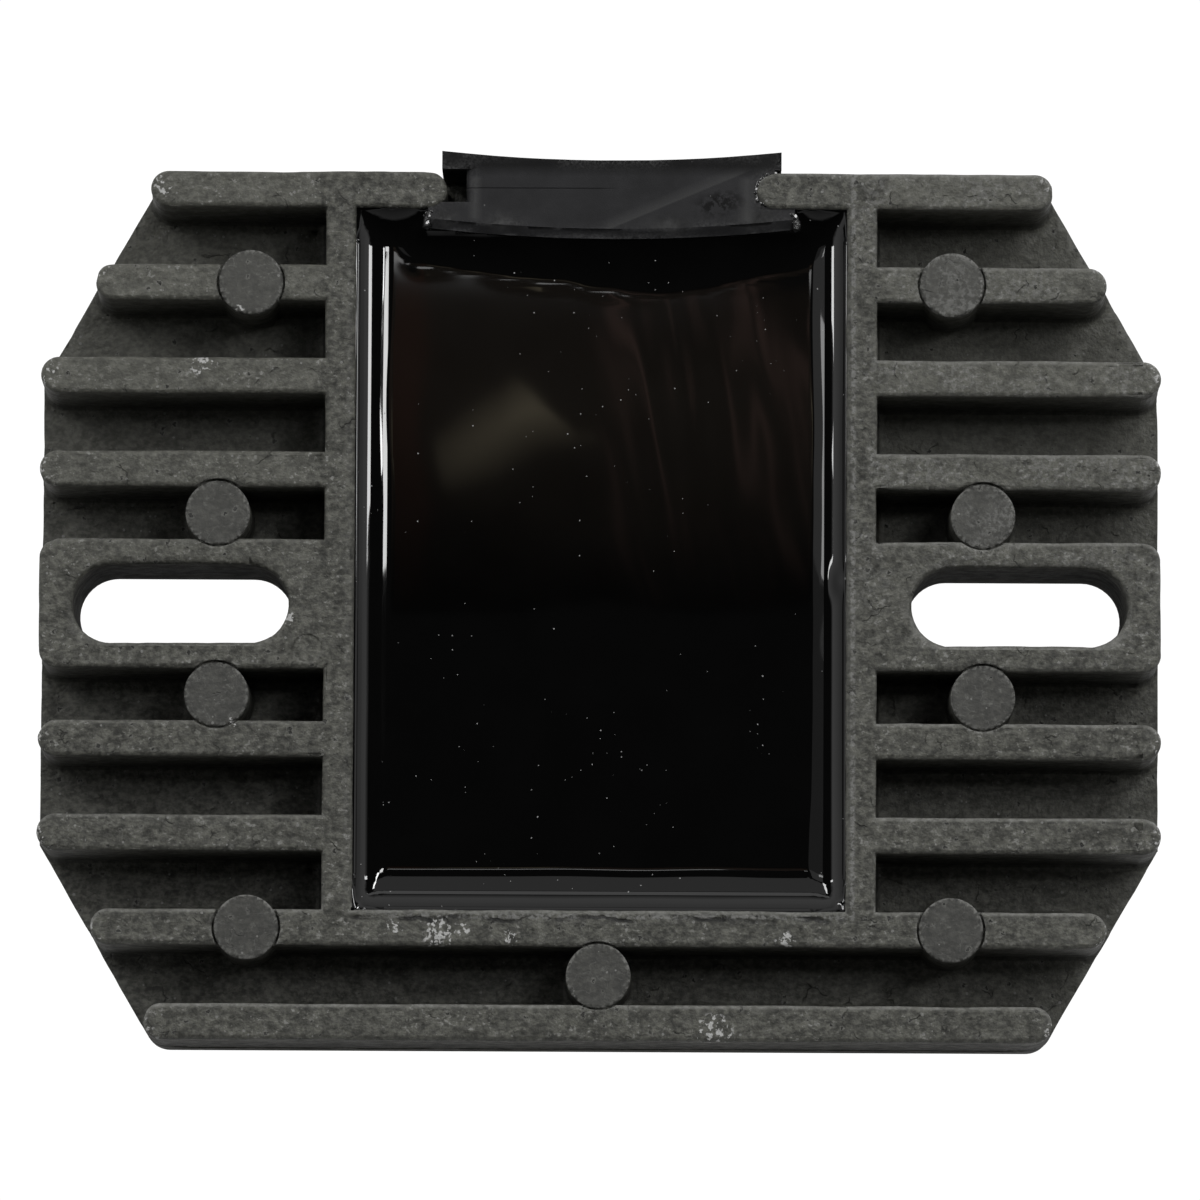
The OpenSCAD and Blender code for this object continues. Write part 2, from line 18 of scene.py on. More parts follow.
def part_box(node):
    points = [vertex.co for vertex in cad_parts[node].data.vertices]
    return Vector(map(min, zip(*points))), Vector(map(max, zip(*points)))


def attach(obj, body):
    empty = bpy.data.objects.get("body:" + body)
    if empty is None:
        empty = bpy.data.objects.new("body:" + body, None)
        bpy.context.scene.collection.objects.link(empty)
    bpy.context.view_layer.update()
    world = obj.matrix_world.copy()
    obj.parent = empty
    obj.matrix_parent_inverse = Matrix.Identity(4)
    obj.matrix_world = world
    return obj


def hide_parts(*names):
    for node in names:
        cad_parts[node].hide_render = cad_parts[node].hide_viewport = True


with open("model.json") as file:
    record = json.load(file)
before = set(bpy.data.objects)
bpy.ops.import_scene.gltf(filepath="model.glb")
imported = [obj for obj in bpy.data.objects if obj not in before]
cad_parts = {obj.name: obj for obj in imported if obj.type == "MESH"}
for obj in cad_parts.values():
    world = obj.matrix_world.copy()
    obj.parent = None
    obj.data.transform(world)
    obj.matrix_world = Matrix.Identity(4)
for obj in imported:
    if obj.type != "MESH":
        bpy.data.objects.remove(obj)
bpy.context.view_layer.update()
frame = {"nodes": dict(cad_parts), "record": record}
nodes = frame["nodes"]
scene = bpy.context.scene
MM = 0.001

# %% [markdown]
# ## The camera
# The photograph looks almost straight down on the fins, from a little below the lower edge. The tilt shows in
# how much of each fin's lower side is seen, and the distance in how that changes from the lower fins to the
# upper ones. A long lens at that distance gives the same drawing. The object also lies turned by a
# fraction of a degree, so the camera rolls by as much.

# %% Camera
FIN_TOP = 15 * MM
TILT = math.radians(5.3)
ROLL = math.radians(0.28)
DISTANCE = 880 * MM
LENS, SENSOR = 298, 36
AIM = Vector((0, 0.44 * MM, FIN_TOP))

camera = bpy.data.objects.new("photo_camera", bpy.data.cameras.new("photo_camera"))
scene.collection.objects.link(camera)
scene.camera = camera
back = Vector((0, -math.sin(TILT), math.cos(TILT)))
camera.location = AIM + DISTANCE * back
camera.rotation_mode = "QUATERNION"
camera.rotation_quaternion = (-back).to_track_quat("-Z", "Y") @ Quaternion((0, 0, 1), ROLL)
camera.data.lens, camera.data.sensor_width = LENS, SENSOR
camera.data.clip_start, camera.data.clip_end = 0.05, 20
print("camera at mm", [round(v / MM) for v in camera.location], "lens", camera.data.lens)

# %% [markdown]
# ## Node helpers
# A shader is a net of nodes. Small helpers keep the cells short: one places a node and fills its inputs with
# values or links, one starts a node group with named sockets, and the others do sums with masks and colours.

# %% Node helpers
def place(tree, kind, inputs=None, **settings):
    """Adds a node. An input may be a plain value or another node's output."""
    made = tree.nodes.new(kind)
    for name, value in settings.items():
        setattr(made, name, value)
    for key, value in (inputs or {}).items():
        if isinstance(value, bpy.types.NodeSocket):
            tree.links.new(value, made.inputs[key])
        else:
            made.inputs[key].default_value = value
    return made


def start_group(name, inputs, outputs):
    """Starts a shader node group. inputs gives each socket's default, outputs each socket's kind."""
    tree = bpy.data.node_groups.new(name, "ShaderNodeTree")
    for label, default in inputs.items():
        kind = "NodeSocketColor" if isinstance(default, tuple) else "NodeSocketFloat"
        tree.interface.new_socket(label, in_out="INPUT", socket_type=kind).default_value = default
    for label, kind in outputs.items():
        tree.interface.new_socket(label, in_out="OUTPUT", socket_type="NodeSocket" + kind)
    return tree, tree.nodes.new("NodeGroupInput").outputs, tree.nodes.new("NodeGroupOutput").inputs


print("helpers that place nodes are ready")

# %% Sums with masks and colours
def math_node(tree, operation, a, b=0.0):
    return place(tree, "ShaderNodeMath", {0: a, 1: b}, operation=operation).outputs[0]


def times(tree, product, *others):
    """Product of masks and numbers."""
    for other in others:
        product = math_node(tree, "MULTIPLY", product, other)
    return product


def distance(tree, value, middle):
    return math_node(tree, "ABSOLUTE", math_node(tree, "SUBTRACT", value, middle))


def spread(tree, value, low, high, to_low=0.0, to_high=1.0):
    """Stretches low..high to to_low..to_high, and clamps what lies outside."""
    return place(tree, "ShaderNodeMapRange", {"Value": value, "From Min": low, "From Max": high,
                                              "To Min": to_low, "To Max": to_high}).outputs[0]


def near(tree, value, middle, reach):
    """1 at the middle, 0 from reach on."""
    return spread(tree, distance(tree, value, middle), reach, 0)


def between(tree, value, low, high, soft):
    """1 from low to high, with soft ends outside."""
    return times(tree, spread(tree, value, low - soft, low), spread(tree, value, high + soft, high))


def mix_colour(tree, amount, a, b):
    return place(tree, "ShaderNodeMix", {0: amount, 6: a, 7: b}, data_type="RGBA").outputs[2]


def stain(tree, colour, mask, strength, tint):
    """Lays a tint over a colour where the mask is."""
    return mix_colour(tree, times(tree, mask, strength), colour, tint)


def grey(level, warm=0.0):
    """A grey in linear light; warm above zero takes some blue away."""
    return (level, level, level * (1 - warm), 1)


print("helpers for masks and colours are ready")

# %% Places on the object
def object_place(tree, size):
    """Object coordinates, in units of size millimetres."""
    where = place(tree, "ShaderNodeTexCoord").outputs["Object"]
    scale = math_node(tree, "DIVIDE", 1 / MM, size)
    return place(tree, "ShaderNodeVectorMath", {0: where, "Scale": scale}, operation="SCALE").outputs[0]


def millimetres(tree):
    """x, y and z of the shaded point."""
    return place(tree, "ShaderNodeSeparateXYZ", {0: object_place(tree, 1.0)}).outputs


def turned(tree, where, angle, x, y):
    """Distance along a line through x, y at that angle, and distance to its left."""
    off_x = math_node(tree, "SUBTRACT", where[0], x)
    off_y = math_node(tree, "SUBTRACT", where[1], y)
    c, s = math.cos(angle), math.sin(angle)
    along = math_node(tree, "ADD", times(tree, off_x, c), times(tree, off_y, s))
    across = math_node(tree, "SUBTRACT", times(tree, off_y, c), times(tree, off_x, s))
    return along, across


def cloudy(tree, spot, detail, roughness=0.5, scale=1.0):
    """Noise at a spot. Its outputs are a value and a colour."""
    return place(tree, "ShaderNodeTexNoise", {"Vector": spot, "Scale": scale, "Detail": detail,
                                              "Roughness": roughness}).outputs


def ragged(tree, spot, scale, detail, reach):
    """Moves a spot about by noise, so that what is drawn there gets a ragged outline."""
    push = cloudy(tree, spot, detail, scale=scale)["Color"]
    return place(tree, "ShaderNodeVectorMath", {0: push, 1: (reach, reach, reach), 2: spot},
                 operation="MULTIPLY_ADD").outputs[0]


print("helpers for places are ready")

# %% [markdown]
# ## Shared surface effects
# All of these surfaces vary over a few millimetres and have finer grain on top. Five effects recur, so each
# is a node group: patches of colour, grain with pits, worn edges, specks and cracks. They read the object
# coordinates, so that a pattern keeps its true size and stays put from any view.

# %% Patches of colour
patches, given, out = start_group(
    "patches", {"Size": 3.0, "Stretch": 1.0, "Softness": 0.2, "Dark": grey(0.03), "Light": grey(0.08)},
    {"Color": "Color", "Level": "Float"})
shrink_x = math_node(patches, "DIVIDE", 1.0, given["Stretch"])
shrink = place(patches, "ShaderNodeCombineXYZ", {0: shrink_x, 1: 1.0, 2: 1.0}).outputs[0]
spot = place(patches, "ShaderNodeVectorMath", {0: object_place(patches, given["Size"]), 1: shrink},
             operation="MULTIPLY").outputs[0]
low = math_node(patches, "SUBTRACT", 0.5, given["Softness"])
high = math_node(patches, "ADD", 0.5, given["Softness"])
level = spread(patches, cloudy(patches, spot, 5.0, 0.6)[0], low, high)
patches.links.new(mix_colour(patches, level, given["Dark"], given["Light"]), out["Color"])
patches.links.new(level, out["Level"])
print("group", patches.name, "with", len(patches.nodes), "nodes")

# %% Fine grain and pits
PIT_R, PIT_WALL = 0.22, 0.06

grain, given, out = start_group(
    "grain", {"Size": 0.3, "Pit Size": 0.9, "Pit Depth": 0.5},
    {"Height": "Float", "Pits": "Float", "Rims": "Float"})
fine = cloudy(grain, object_place(grain, given["Size"]), 3.0, 0.6)[0]
spot = object_place(grain, given["Pit Size"])
lumpy = cloudy(grain, spot, 2.0)[0]
cell = place(grain, "ShaderNodeTexVoronoi", {"Vector": ragged(grain, spot, 4.0, 2.0, 0.6), "Scale": 1.0})
chance = place(grain, "ShaderNodeSeparateColor", {0: cell.outputs["Color"]}).outputs[0]
radius = spread(grain, chance, 0.5, 1.0, 0.0, PIT_R)
inward = math_node(grain, "SUBTRACT", radius, cell.outputs["Distance"])
pit = spread(grain, inward, 0.0, PIT_WALL)
raised = times(grain, spread(grain, inward, -0.16, -0.02), spread(grain, radius, 0.05, 0.15))
bumps = math_node(grain, "ADD", times(grain, fine, 0.5), times(grain, lumpy, 0.9))
grain.links.new(pit, out["Pits"])
grain.links.new(math_node(grain, "SUBTRACT", raised, pit), out["Rims"])
grain.links.new(math_node(grain, "SUBTRACT", bumps, times(grain, pit, given["Pit Depth"])), out["Height"])
print("group", grain.name, "with", len(grain.nodes), "nodes")

# %% Worn edges
edge_wear, given, out = start_group("edge_wear", {"Amount": 0.5, "Break": 0.6}, {"Mask": "Float"})
edge = place(edge_wear, "ShaderNodeAttribute", attribute_name="edge").outputs["Fac"]
broken = cloudy(edge_wear, object_place(edge_wear, given["Break"]), 6.0, 0.75)[0]
# On the casting the edge mask holds a painted highlight as well as wear, so there this mask holds both.
worn = times(edge_wear, edge, spread(edge_wear, broken, 0.42, 0.72), given["Amount"])
edge_wear.links.new(worn, out["Mask"])
print("group", edge_wear.name, "with", len(edge_wear.nodes), "nodes")

# %% Scattered specks
specks, given, out = start_group(
    "specks", {"Spacing": 1.5, "Share": 0.2, "Radius": 0.08, "Cluster": 6.0}, {"Mask": "Float"})
spot = ragged(specks, object_place(specks, given["Spacing"]), 9.0, 1.0, 0.16)
cell = place(specks, "ShaderNodeTexVoronoi", {"Vector": spot, "Scale": 1.0})
chance = place(specks, "ShaderNodeSeparateColor", {0: cell.outputs["Color"]}).outputs
crowd = cloudy(specks, object_place(specks, given["Cluster"]), 1.0)[0]
share = times(specks, spread(specks, crowd, 0.45, 0.7, 0.1, 2.0), given["Share"])
here = math_node(specks, "LESS_THAN", chance[0], share)
reach = times(specks, math_node(specks, "ADD", chance[1], 0.7), given["Radius"])
inside = math_node(specks, "LESS_THAN", cell.outputs["Distance"], reach)
specks.links.new(times(specks, here, inside), out["Mask"])
print("group", specks.name, "with", len(specks.nodes), "nodes")

# %% Cracks and scratches
cracks, given, out = start_group("cracks", {"Spacing": 4.0, "Width": 0.03, "Share": 0.3}, {"Mask": "Float"})
spot = ragged(cracks, object_place(cracks, given["Spacing"]), 3.0, 4.0, 0.5)
line = place(cracks, "ShaderNodeTexVoronoi", {"Vector": spot, "Scale": 1.0}, feature="DISTANCE_TO_EDGE")
line = spread(cracks, line.outputs[0], given["Width"], 0.0)
low = math_node(cracks, "SUBTRACT", 0.85, given["Share"])
here = spread(cracks, cloudy(cracks, spot, 1.0, scale=1.7)[0], low, math_node(cracks, "ADD", low, 0.08))
cracks.links.new(times(cracks, line, here), out["Mask"])
print("group", cracks.name, "with", len(cracks.nodes), "nodes")

# %% [markdown]
# ## Materials
# Every material starts from one Principled shader. A helper makes it with its plain values, and another
# places a group in it. Bump comes from the groups' heights, with its depth given in millimetres.

# %% Material helpers
def new_material(name, **values):
    """A material with one Principled shader; values are that shader's plain inputs."""
    made = bpy.data.materials.new(name)
    made.use_nodes = True
    shader = made.node_tree.nodes["Principled BSDF"]
    for label, value in values.items():
        shader.inputs[label.replace("_", " ")].default_value = value
    return made, made.node_tree, shader


def use_group(tree, group, **values):
    """Places a node group in a material and sets its inputs."""
    made = place(tree, "ShaderNodeGroup", node_tree=group)
    for label, value in values.items():
        made.inputs[label.replace("_", " ")].default_value = value
    return made.outputs


def bump(tree, shader, height, depth_mm, strength=1.0):
    made = place(tree, "ShaderNodeBump", {"Height": height, "Distance": depth_mm * MM, "Strength": strength})
    tree.links.new(made.outputs[0], shader.inputs["Normal"])


print("material helpers ready")

# %% [markdown]
# ## The casting's skin
# The casting is an aluminium alloy that has gone dark grey. It is mottled in patches of one to three
# millimetres, grainy and smeared below that, pitted here and there, and lighter along its edges, partly from
# wear and partly as a painted highlight on the edges that face the lamps. Bare metal shows in chips and
# scrapes, most of them on the upper face. The colour is laid on in that order, coat over coat, and the same
# grain drives the bump. Painted shade darkens the gaps between the fins and what faces away from the lamps,
# and painted light brightens the outer parts towards the upper end and the gap floors towards the right.
# Masks that follow the shape are painted on the mesh further down, and the material reads them by name.

# %% Cast alloy: patterns
WARM = 0.15
TOP_FACE = (14.3, 14.6)

cast_alloy, tree, shader = new_material("cast_alloy", Roughness=0.55, IOR=1.45)
wide = use_group(tree, patches, Size=8.0, Softness=0.12, Dark=grey(0.044, WARM), Light=grey(0.090, WARM))
close = use_group(tree, patches, Size=1.5, Softness=0.1, Dark=grey(0.018, WARM), Light=grey(0.136, WARM))
fine = use_group(tree, patches, Size=0.45, Softness=0.12, Dark=grey(0.012, WARM), Light=grey(0.140, WARM))
smears = use_group(tree, patches, Size=0.4, Stretch=1.5, Softness=0.1)["Level"]
chips = use_group(tree, patches, Size=0.42, Softness=0.09)["Level"]
wander = use_group(tree, patches, Size=2.4, Softness=0.5)["Level"]
clusters = use_group(tree, patches, Size=5.0, Softness=0.06)["Level"]
skin = use_group(tree, grain, Size=0.22, Pit_Size=1.0, Pit_Depth=0.7)
worn = use_group(tree, edge_wear, Amount=1.4)["Mask"]
nicks = use_group(tree, cracks, Spacing=1.8, Width=0.025, Share=0.33)["Mask"]
splits = use_group(tree, cracks, Spacing=3.4, Width=0.026, Share=0.25)["Mask"]
flecks = use_group(tree, specks, Spacing=0.7, Share=0.32, Radius=0.12, Cluster=3.0)["Mask"]
painted = {name: place(tree, "ShaderNodeAttribute", attribute_name=name).outputs["Fac"]
           for name in ("pad", "pad_rim", "chipped", "deep", "faded", "edge")}
where = millimetres(tree)
on_face = spread(tree, where[2], *TOP_FACE)
print("painted masks that the alloy reads:", sorted(painted))

# %% Cast alloy: mottled skin
colour = mix_colour(tree, 0.55, wide["Color"], close["Color"])
colour = mix_colour(tree, 0.4, colour, fine["Color"])
colour = mix_colour(tree, spread(tree, smears, 0.4, 0.0, 0.0, 0.45), colour, grey(0.018, WARM))
colour = mix_colour(tree, spread(tree, smears, 0.6, 1.0, 0.0, 0.32), colour, grey(0.18, WARM))
# Painted light: lighter towards the upper end beyond |x| 25, and on the gap floors towards the right.
colour = mix_colour(tree, painted["faded"], colour, grey(0.16, WARM))
colour = stain(tree, colour, painted["pad"], 0.65, grey(0.050, 0.06))
colour = stain(tree, colour, times(tree, nicks, painted["pad"]), 0.5, grey(0.17, 0.06))
colour = stain(tree, colour, skin["Rims"], 0.5, grey(0.19, 0.08))
colour = stain(tree, colour, skin["Pits"], 0.75, grey(0.010))
colour = stain(tree, colour, splits, 0.65, grey(0.010))
print("nodes so far:", len(tree.nodes))

# %% Cast alloy: lit and worn edges, broken pad rims and painted shade
# Edges go lighter: partly wear and partly a painted highlight where they face the lamps; the worn mask below
# reads the same edges.
colour = stain(tree, colour, painted["edge"], 0.5, grey(0.20, 0.08))
colour = mix_colour(tree, worn, colour, grey(0.26, 0.06))
broken_rim = times(tree, spread(tree, chips, 0.45, 0.9), painted["pad_rim"])
colour = stain(tree, colour, broken_rim, 0.75, grey(0.21, 0.06))
eaten_rim = times(tree, spread(tree, chips, 0.35, 0.05), painted["pad_rim"])
colour = stain(tree, colour, eaten_rim, 0.7, grey(0.010))
colour = mix_colour(tree, flecks, colour, grey(0.19, 0.05))
# Painted shade: the gaps between the fins, the lower fin sides and the edges facing away from the lamps go
# darker.
colour = stain(tree, colour, painted["deep"], 0.55, grey(0.008, WARM))
print("nodes so far:", len(tree.nodes))

# %% Cast alloy: scrapes and bloom on the upper face
BLOOM_X, BLOOM_Y = (20, 24), (-8, 8)
SCRAPED_X, SCRAPED_Y = (25.5, 24), 14.5

scrapes = times(tree, spread(tree, chips, 0.7, 1), spread(tree, smears, 0.7, 1), on_face,
                spread(tree, clusters, 0, 1, 0.2, 0.8))
colour = stain(tree, colour, scrapes, spread(tree, painted["pad"], 0, 1, 1, 0.3), grey(0.27, 0.05))
bloom = times(tree, spread(tree, where[0], *BLOOM_X), spread(tree, where[1], *BLOOM_Y), clusters,
              spread(tree, chips, 0.35, 0.85))
scraped = times(tree, spread(tree, distance(tree, where[1], SCRAPED_Y), 6, 1, 0, 0.4),
                spread(tree, where[0], *SCRAPED_X))
bloom = times(tree, bloom, math_node(tree, "ADD", scraped, 0.35))
colour = stain(tree, colour, bloom, on_face, grey(0.24, 0.04))
print("nodes so far:", len(tree.nodes))

# %% Cast alloy: rim of the well and chips
RIM_X, RIM_Y, CRUST_Y = 22.4, -27.65, -27.95

past_rim = math_node(tree, "MAXIMUM", math_node(tree, "SUBTRACT", distance(tree, where[0], 0), RIM_X),
                     math_node(tree, "SUBTRACT", RIM_Y, where[1]))
rim = times(tree, spread(tree, distance(tree, past_rim, 0), 0.32, 0.1), on_face,
            spread(tree, where[0], -22, -16, 0.2, 1), spread(tree, chips, 0.3, 0.8))
colour = stain(tree, colour, rim, 0.75, grey(0.21, 0.04))
wandering = math_node(tree, "ADD", where[1], times(tree, math_node(tree, "SUBTRACT", wander, 0.5), 1.6))
crust = times(tree, spread(tree, distance(tree, wandering, CRUST_Y), 0.26, 0.10), on_face, clusters,
              spread(tree, distance(tree, where[0], 0), RIM_X, RIM_X - 1))
# The dark line along the broken edge is partly crust and partly painted shadow where the edge breaks away.
colour = stain(tree, colour, crust, 0.85, grey(0.008))
chip = spread(tree, math_node(tree, "ADD", chips, times(tree, painted["chipped"], 0.5)), 1.22, 1.36)
colour = mix_colour(tree, chip, colour, grey(0.48, 0.02))
print("nodes so far:", len(tree.nodes))

# %% Cast alloy: shader
tree.links.new(colour, shader.inputs["Base Color"])
tree.links.new(spread(tree, close["Level"], 0, 1, 0.64, 0.46), shader.inputs["Roughness"])
hollow = times(tree, math_node(tree, "ADD", splits, crust), 0.5)
height = math_node(tree, "SUBTRACT", skin["Height"], hollow)
bump(tree, shader, times(tree, height, spread(tree, painted["pad"], 0, 1, 1, 0.4)), 0.18)
print("material", cast_alloy.name)

# %% [markdown]
# ## The resin, the rubber and the parts inside
# The resin is black and cures to a mirror, so its look is nearly all reflection, with a little dust on it.
# The rubber is a satin dark grey, with a mould seam, a pale smear across its upper face and a dark smudge,
# with a painted highlight on the ends of its neck and painted shade on its outer flange.
# Those marks have known places, so their masks are drawn from x and y. The parts that the resin hides get
# plain finishes from the same groups.

# %% Resin
resin, tree, shader = new_material("resin", IOR=1.5)
tone = use_group(tree, patches, Size=6.0, Softness=0.25, Dark=grey(0.0010), Light=grey(0.0018))
dust = use_group(tree, specks, Spacing=0.6, Share=0.28, Radius=0.065, Cluster=8.0)
tree.links.new(mix_colour(tree, dust["Mask"], tone["Color"], grey(0.32)), shader.inputs["Base Color"])
tree.links.new(spread(tree, dust["Mask"], 0, 1, 0.025, 0.6), shader.inputs["Roughness"])
print("material", resin.name)

# %% Resin that was squeezed out
flash, tree, shader = new_material("resin_flash", Roughness=0.12, IOR=1.5)
tone = use_group(tree, patches, Size=0.8, Softness=0.1, Dark=grey(0.004), Light=grey(0.03))
glints = use_group(tree, specks, Spacing=0.32, Share=0.55, Radius=0.28, Cluster=1.5)
tree.links.new(mix_colour(tree, glints["Mask"], tone["Color"], grey(0.8)), shader.inputs["Base Color"])
print("material", flash.name)

# %% Grommet rubber
SEAM_Y, SEAM_X0, SEAM_X1 = 37.2, -11.5, -0.5
NECK_X0, NECK_X1, NECK_Y0, NECK_Y1 = -11.3, 12.9, 34.6, 38.0
SMEAR_X, SMEAR_Y, SMEAR_TURN, SMEAR_LONG = 0.7, 33.6, math.radians(23), 12.8
SMUDGE_X, SMUDGE_Y = 10.4, 35.9

rubber, tree, shader = new_material("grommet_rubber", Roughness=0.5, Specular_IOR_Level=0.12)
tone = use_group(tree, patches, Size=4.0, Softness=0.15, Dark=grey(0.021, -0.06), Light=grey(0.029, -0.06))
smudge = use_group(tree, patches, Size=1.4, Softness=0.12, Dark=grey(0.02), Light=grey(0.055))
skin = use_group(tree, grain, Size=0.12, Pit_Size=2.0, Pit_Depth=0.3)
worn = use_group(tree, edge_wear, Amount=0.9, Break=0.25)
dust = use_group(tree, specks, Spacing=0.8, Share=0.12, Radius=0.06, Cluster=4.0)
scribble = use_group(tree, patches, Size=0.7, Softness=0.05)["Level"]
scuffed = place(tree, "ShaderNodeAttribute", attribute_name="scuffed").outputs["Fac"]
print("patterns of", rubber.name, "placed")

# %% Marks on the grommet
where = millimetres(tree)
seam = times(tree, near(tree, where[1], SEAM_Y, 0.09), between(tree, where[0], SEAM_X0, SEAM_X1, 2))
# Painted highlight on the rounded ends of the neck.
neck_end_highlight = math_node(tree, "ADD", near(tree, where[0], NECK_X0, 0.7), near(tree, where[0], NECK_X1, 0.9))
neck_end_highlight = times(tree, neck_end_highlight, between(tree, where[1], NECK_Y0, NECK_Y1, 0.4))
along, across = turned(tree, where, SMEAR_TURN, SMEAR_X, SMEAR_Y)
smear = times(tree, spread(tree, across, -0.08, 0.06), spread(tree, across, 1.0, 0.1),
              between(tree, along, 0, SMEAR_LONG, 1))
along, across = turned(tree, where, SMEAR_TURN / 2, SMUDGE_X, SMUDGE_Y)
smudged = times(tree, near(tree, along, 0, 2.6), near(tree, across, 0, 1.3), scribble)
# Painted shade darkens the outer flange.
outer_flange_shade = spread(tree, where[1], NECK_Y1 + 0.3, NECK_Y1 + 1.3)
colour = mix_colour(tree, scuffed, tone["Color"], smudge["Color"])
colour = stain(tree, colour, neck_end_highlight, 0.6, grey(0.065))
colour = stain(tree, colour, smear, 0.6, grey(0.06))
colour = mix_colour(tree, math_node(tree, "MINIMUM", times(tree, smudged, 2.0), 0.9), colour, grey(0.003))
colour = stain(tree, colour, outer_flange_shade, 0.85, grey(0.003))
colour = mix_colour(tree, worn["Mask"], colour, grey(0.16))
colour = mix_colour(tree, dust["Mask"], colour, grey(0.12))
colour = stain(tree, colour, seam, 0.5, grey(0.002))
tree.links.new(colour, shader.inputs["Base Color"])
tree.links.new(spread(tree, tone["Level"], 0, 1, 0.55, 0.42), shader.inputs["Roughness"])
bump(tree, shader, math_node(tree, "SUBTRACT", skin["Height"], times(tree, seam, 1.5)), 0.03)
print("material", rubber.name)

# %% Parts inside
INSIDE = {  # slot: dark and light colour, size of the patches, size of the grain, roughness
    "board": ((0.012, 0.06, 0.02, 1), (0.02, 0.1, 0.03, 1), 6.0, 0.4, 0.4),
    "insulating_sheet": (grey(0.5, 0.1), grey(0.6, 0.08), 4.0, 0.5, 0.7),
    "power_device": (grey(0.02), grey(0.035), 2.5, 0.15, 0.5),
    "chip": (grey(0.012), grey(0.02), 1.5, 0.1, 0.5),
    "capacitor": ((0.32, 0.2, 0.1, 1), (0.42, 0.28, 0.15, 1), 1.0, 0.08, 0.45),
}
inside_finish = {}
for slot_name, (dark, light, patch_size, grain_size, rough) in INSIDE.items():
    inside_finish[slot_name], tree, shader = new_material(slot_name, Roughness=rough)
    tone = use_group(tree, patches, Size=patch_size, Softness=0.2, Dark=dark, Light=light)
    skin = use_group(tree, grain, Size=grain_size, Pit_Size=3.0, Pit_Depth=0.1)
    tree.links.new(tone["Color"], shader.inputs["Base Color"])
    bump(tree, shader, skin["Height"], 0.02, 0.5)
print("inner finishes:", sorted(inside_finish))

# %% [markdown]
# ## Meshes that start from the CAD
# The CAD meshes have the right shape but few and long triangles, and a real casting is never that true. A
# copy of the mesh is welded, cut along a fine grid so that it has points to move, and then its points are
# moved. Subdividing would round the edges, and a remesh would lose them, so the copy is cut with planes.

# %% Mesh helpers: weld and cut
WELD = 0.002 * MM


def welded(node):
    """A bmesh copy of a CAD node, with its doubled points joined and its flat faces whole."""
    bm = bmesh.new()
    bm.from_mesh(nodes[node].data)
    bmesh.ops.remove_doubles(bm, verts=bm.verts, dist=WELD)
    bmesh.ops.dissolve_degenerate(bm, dist=WELD, edges=bm.edges)
    bmesh.ops.dissolve_limit(bm, angle_limit=math.radians(0.2), verts=bm.verts, edges=bm.edges)
    return bm


def cut_grid(bm, axis, step, wanted):
    """Cuts the wanted faces with planes across one axis, a step apart. Each face waits for its next plane."""
    normal = Vector([float(i == axis) for i in range(3)])
    faces = [f for f in bm.faces if wanted(f)]
    low = min(v.co[axis] for f in faces for v in f.verts)
    waiting = {}

    def queue(face, passed):
        places = [v.co[axis] for v in face.verts]
        number = max(passed, math.floor((min(places) - low + WELD / 10) / step)) + 1
        if low + number * step < max(places) - WELD / 10:
            waiting.setdefault(number, []).append(face)

    for face in faces:
        queue(face, 0)
    while waiting:
        number = min(waiting)
        faces = waiting.pop(number)
        edges = {e for f in faces for e in f.edges}
        verts = {v for e in edges for v in e.verts}
        cut = bmesh.ops.bisect_plane(bm, geom=[*verts, *edges, *faces], dist=WELD / 20,
                                     plane_co=normal * (low + number * step), plane_no=normal)
        for face in cut["geom"]:
            if isinstance(face, bmesh.types.BMFace):
                queue(face, number)


print("points closer than mm", WELD / MM, "are welded")

# %% Mesh helpers: pieces and points
def as_piece(bm, name, material, slot, *stands_for):
    """Turns a bmesh into a piece that rides on the frame in place of CAD nodes."""
    bmesh.ops.triangulate(bm, faces=bm.faces)
    mesh = bpy.data.meshes.new(name)
    bm.to_mesh(mesh)
    bm.free()
    mesh.materials.append(material)
    piece = bpy.data.objects.new(name, mesh)
    scene.collection.objects.link(piece)
    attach(piece, "root")
    if stands_for:
        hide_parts(*stands_for)
    return piece


def read_points(mesh):
    """Places and normals of a mesh's points, as arrays."""
    places = np.empty(len(mesh.vertices) * 3, np.float32)
    mesh.vertices.foreach_get("co", places)
    normals = np.empty(len(mesh.vertices) * 3, np.float32)
    mesh.vertex_normals.foreach_get("vector", normals)
    return places.reshape(-1, 3).astype(float), normals.reshape(-1, 3).astype(float)


def write_points(mesh, places, sharp_deg):
    """Writes moved points back, and shades the mesh smooth except at sharp edges."""
    mesh.vertices.foreach_set("co", places.astype(np.float32).ravel())
    mesh.shade_smooth()
    mesh.set_sharp_from_angle(angle=math.radians(sharp_deg))
    mesh.update()


def crisp(piece):
    """Lets the large faces decide the shading at their rims, so that flat faces look flat."""
    piece.modifiers.new("crisp", "WEIGHTED_NORMAL").keep_sharp = True


print("piece helpers ready")

# %% Mesh helpers: masks and waves
def around(mesh, values):
    """Mean of each point's neighbours."""
    pairs = np.empty(len(mesh.edges) * 2, np.int32)
    mesh.edges.foreach_get("vertices", pairs)
    a, b = pairs.reshape(-1, 2).T
    values = values.reshape(len(values), -1)
    total = np.zeros_like(values)
    np.add.at(total, a, values[b])
    np.add.at(total, b, values[a])
    count = np.bincount(np.concatenate([a, b]), minlength=len(values))
    return (total / np.maximum(count, 1)[:, None]).squeeze()


def convex(mesh, full_mm):
    """0 on flat faces, 1 where a point stands proud of its neighbours by full_mm: the edges that wear."""
    places, normals = read_points(mesh)
    return np.clip(((places - around(mesh, places)) * normals).sum(1) / (full_mm * MM), 0, 1)


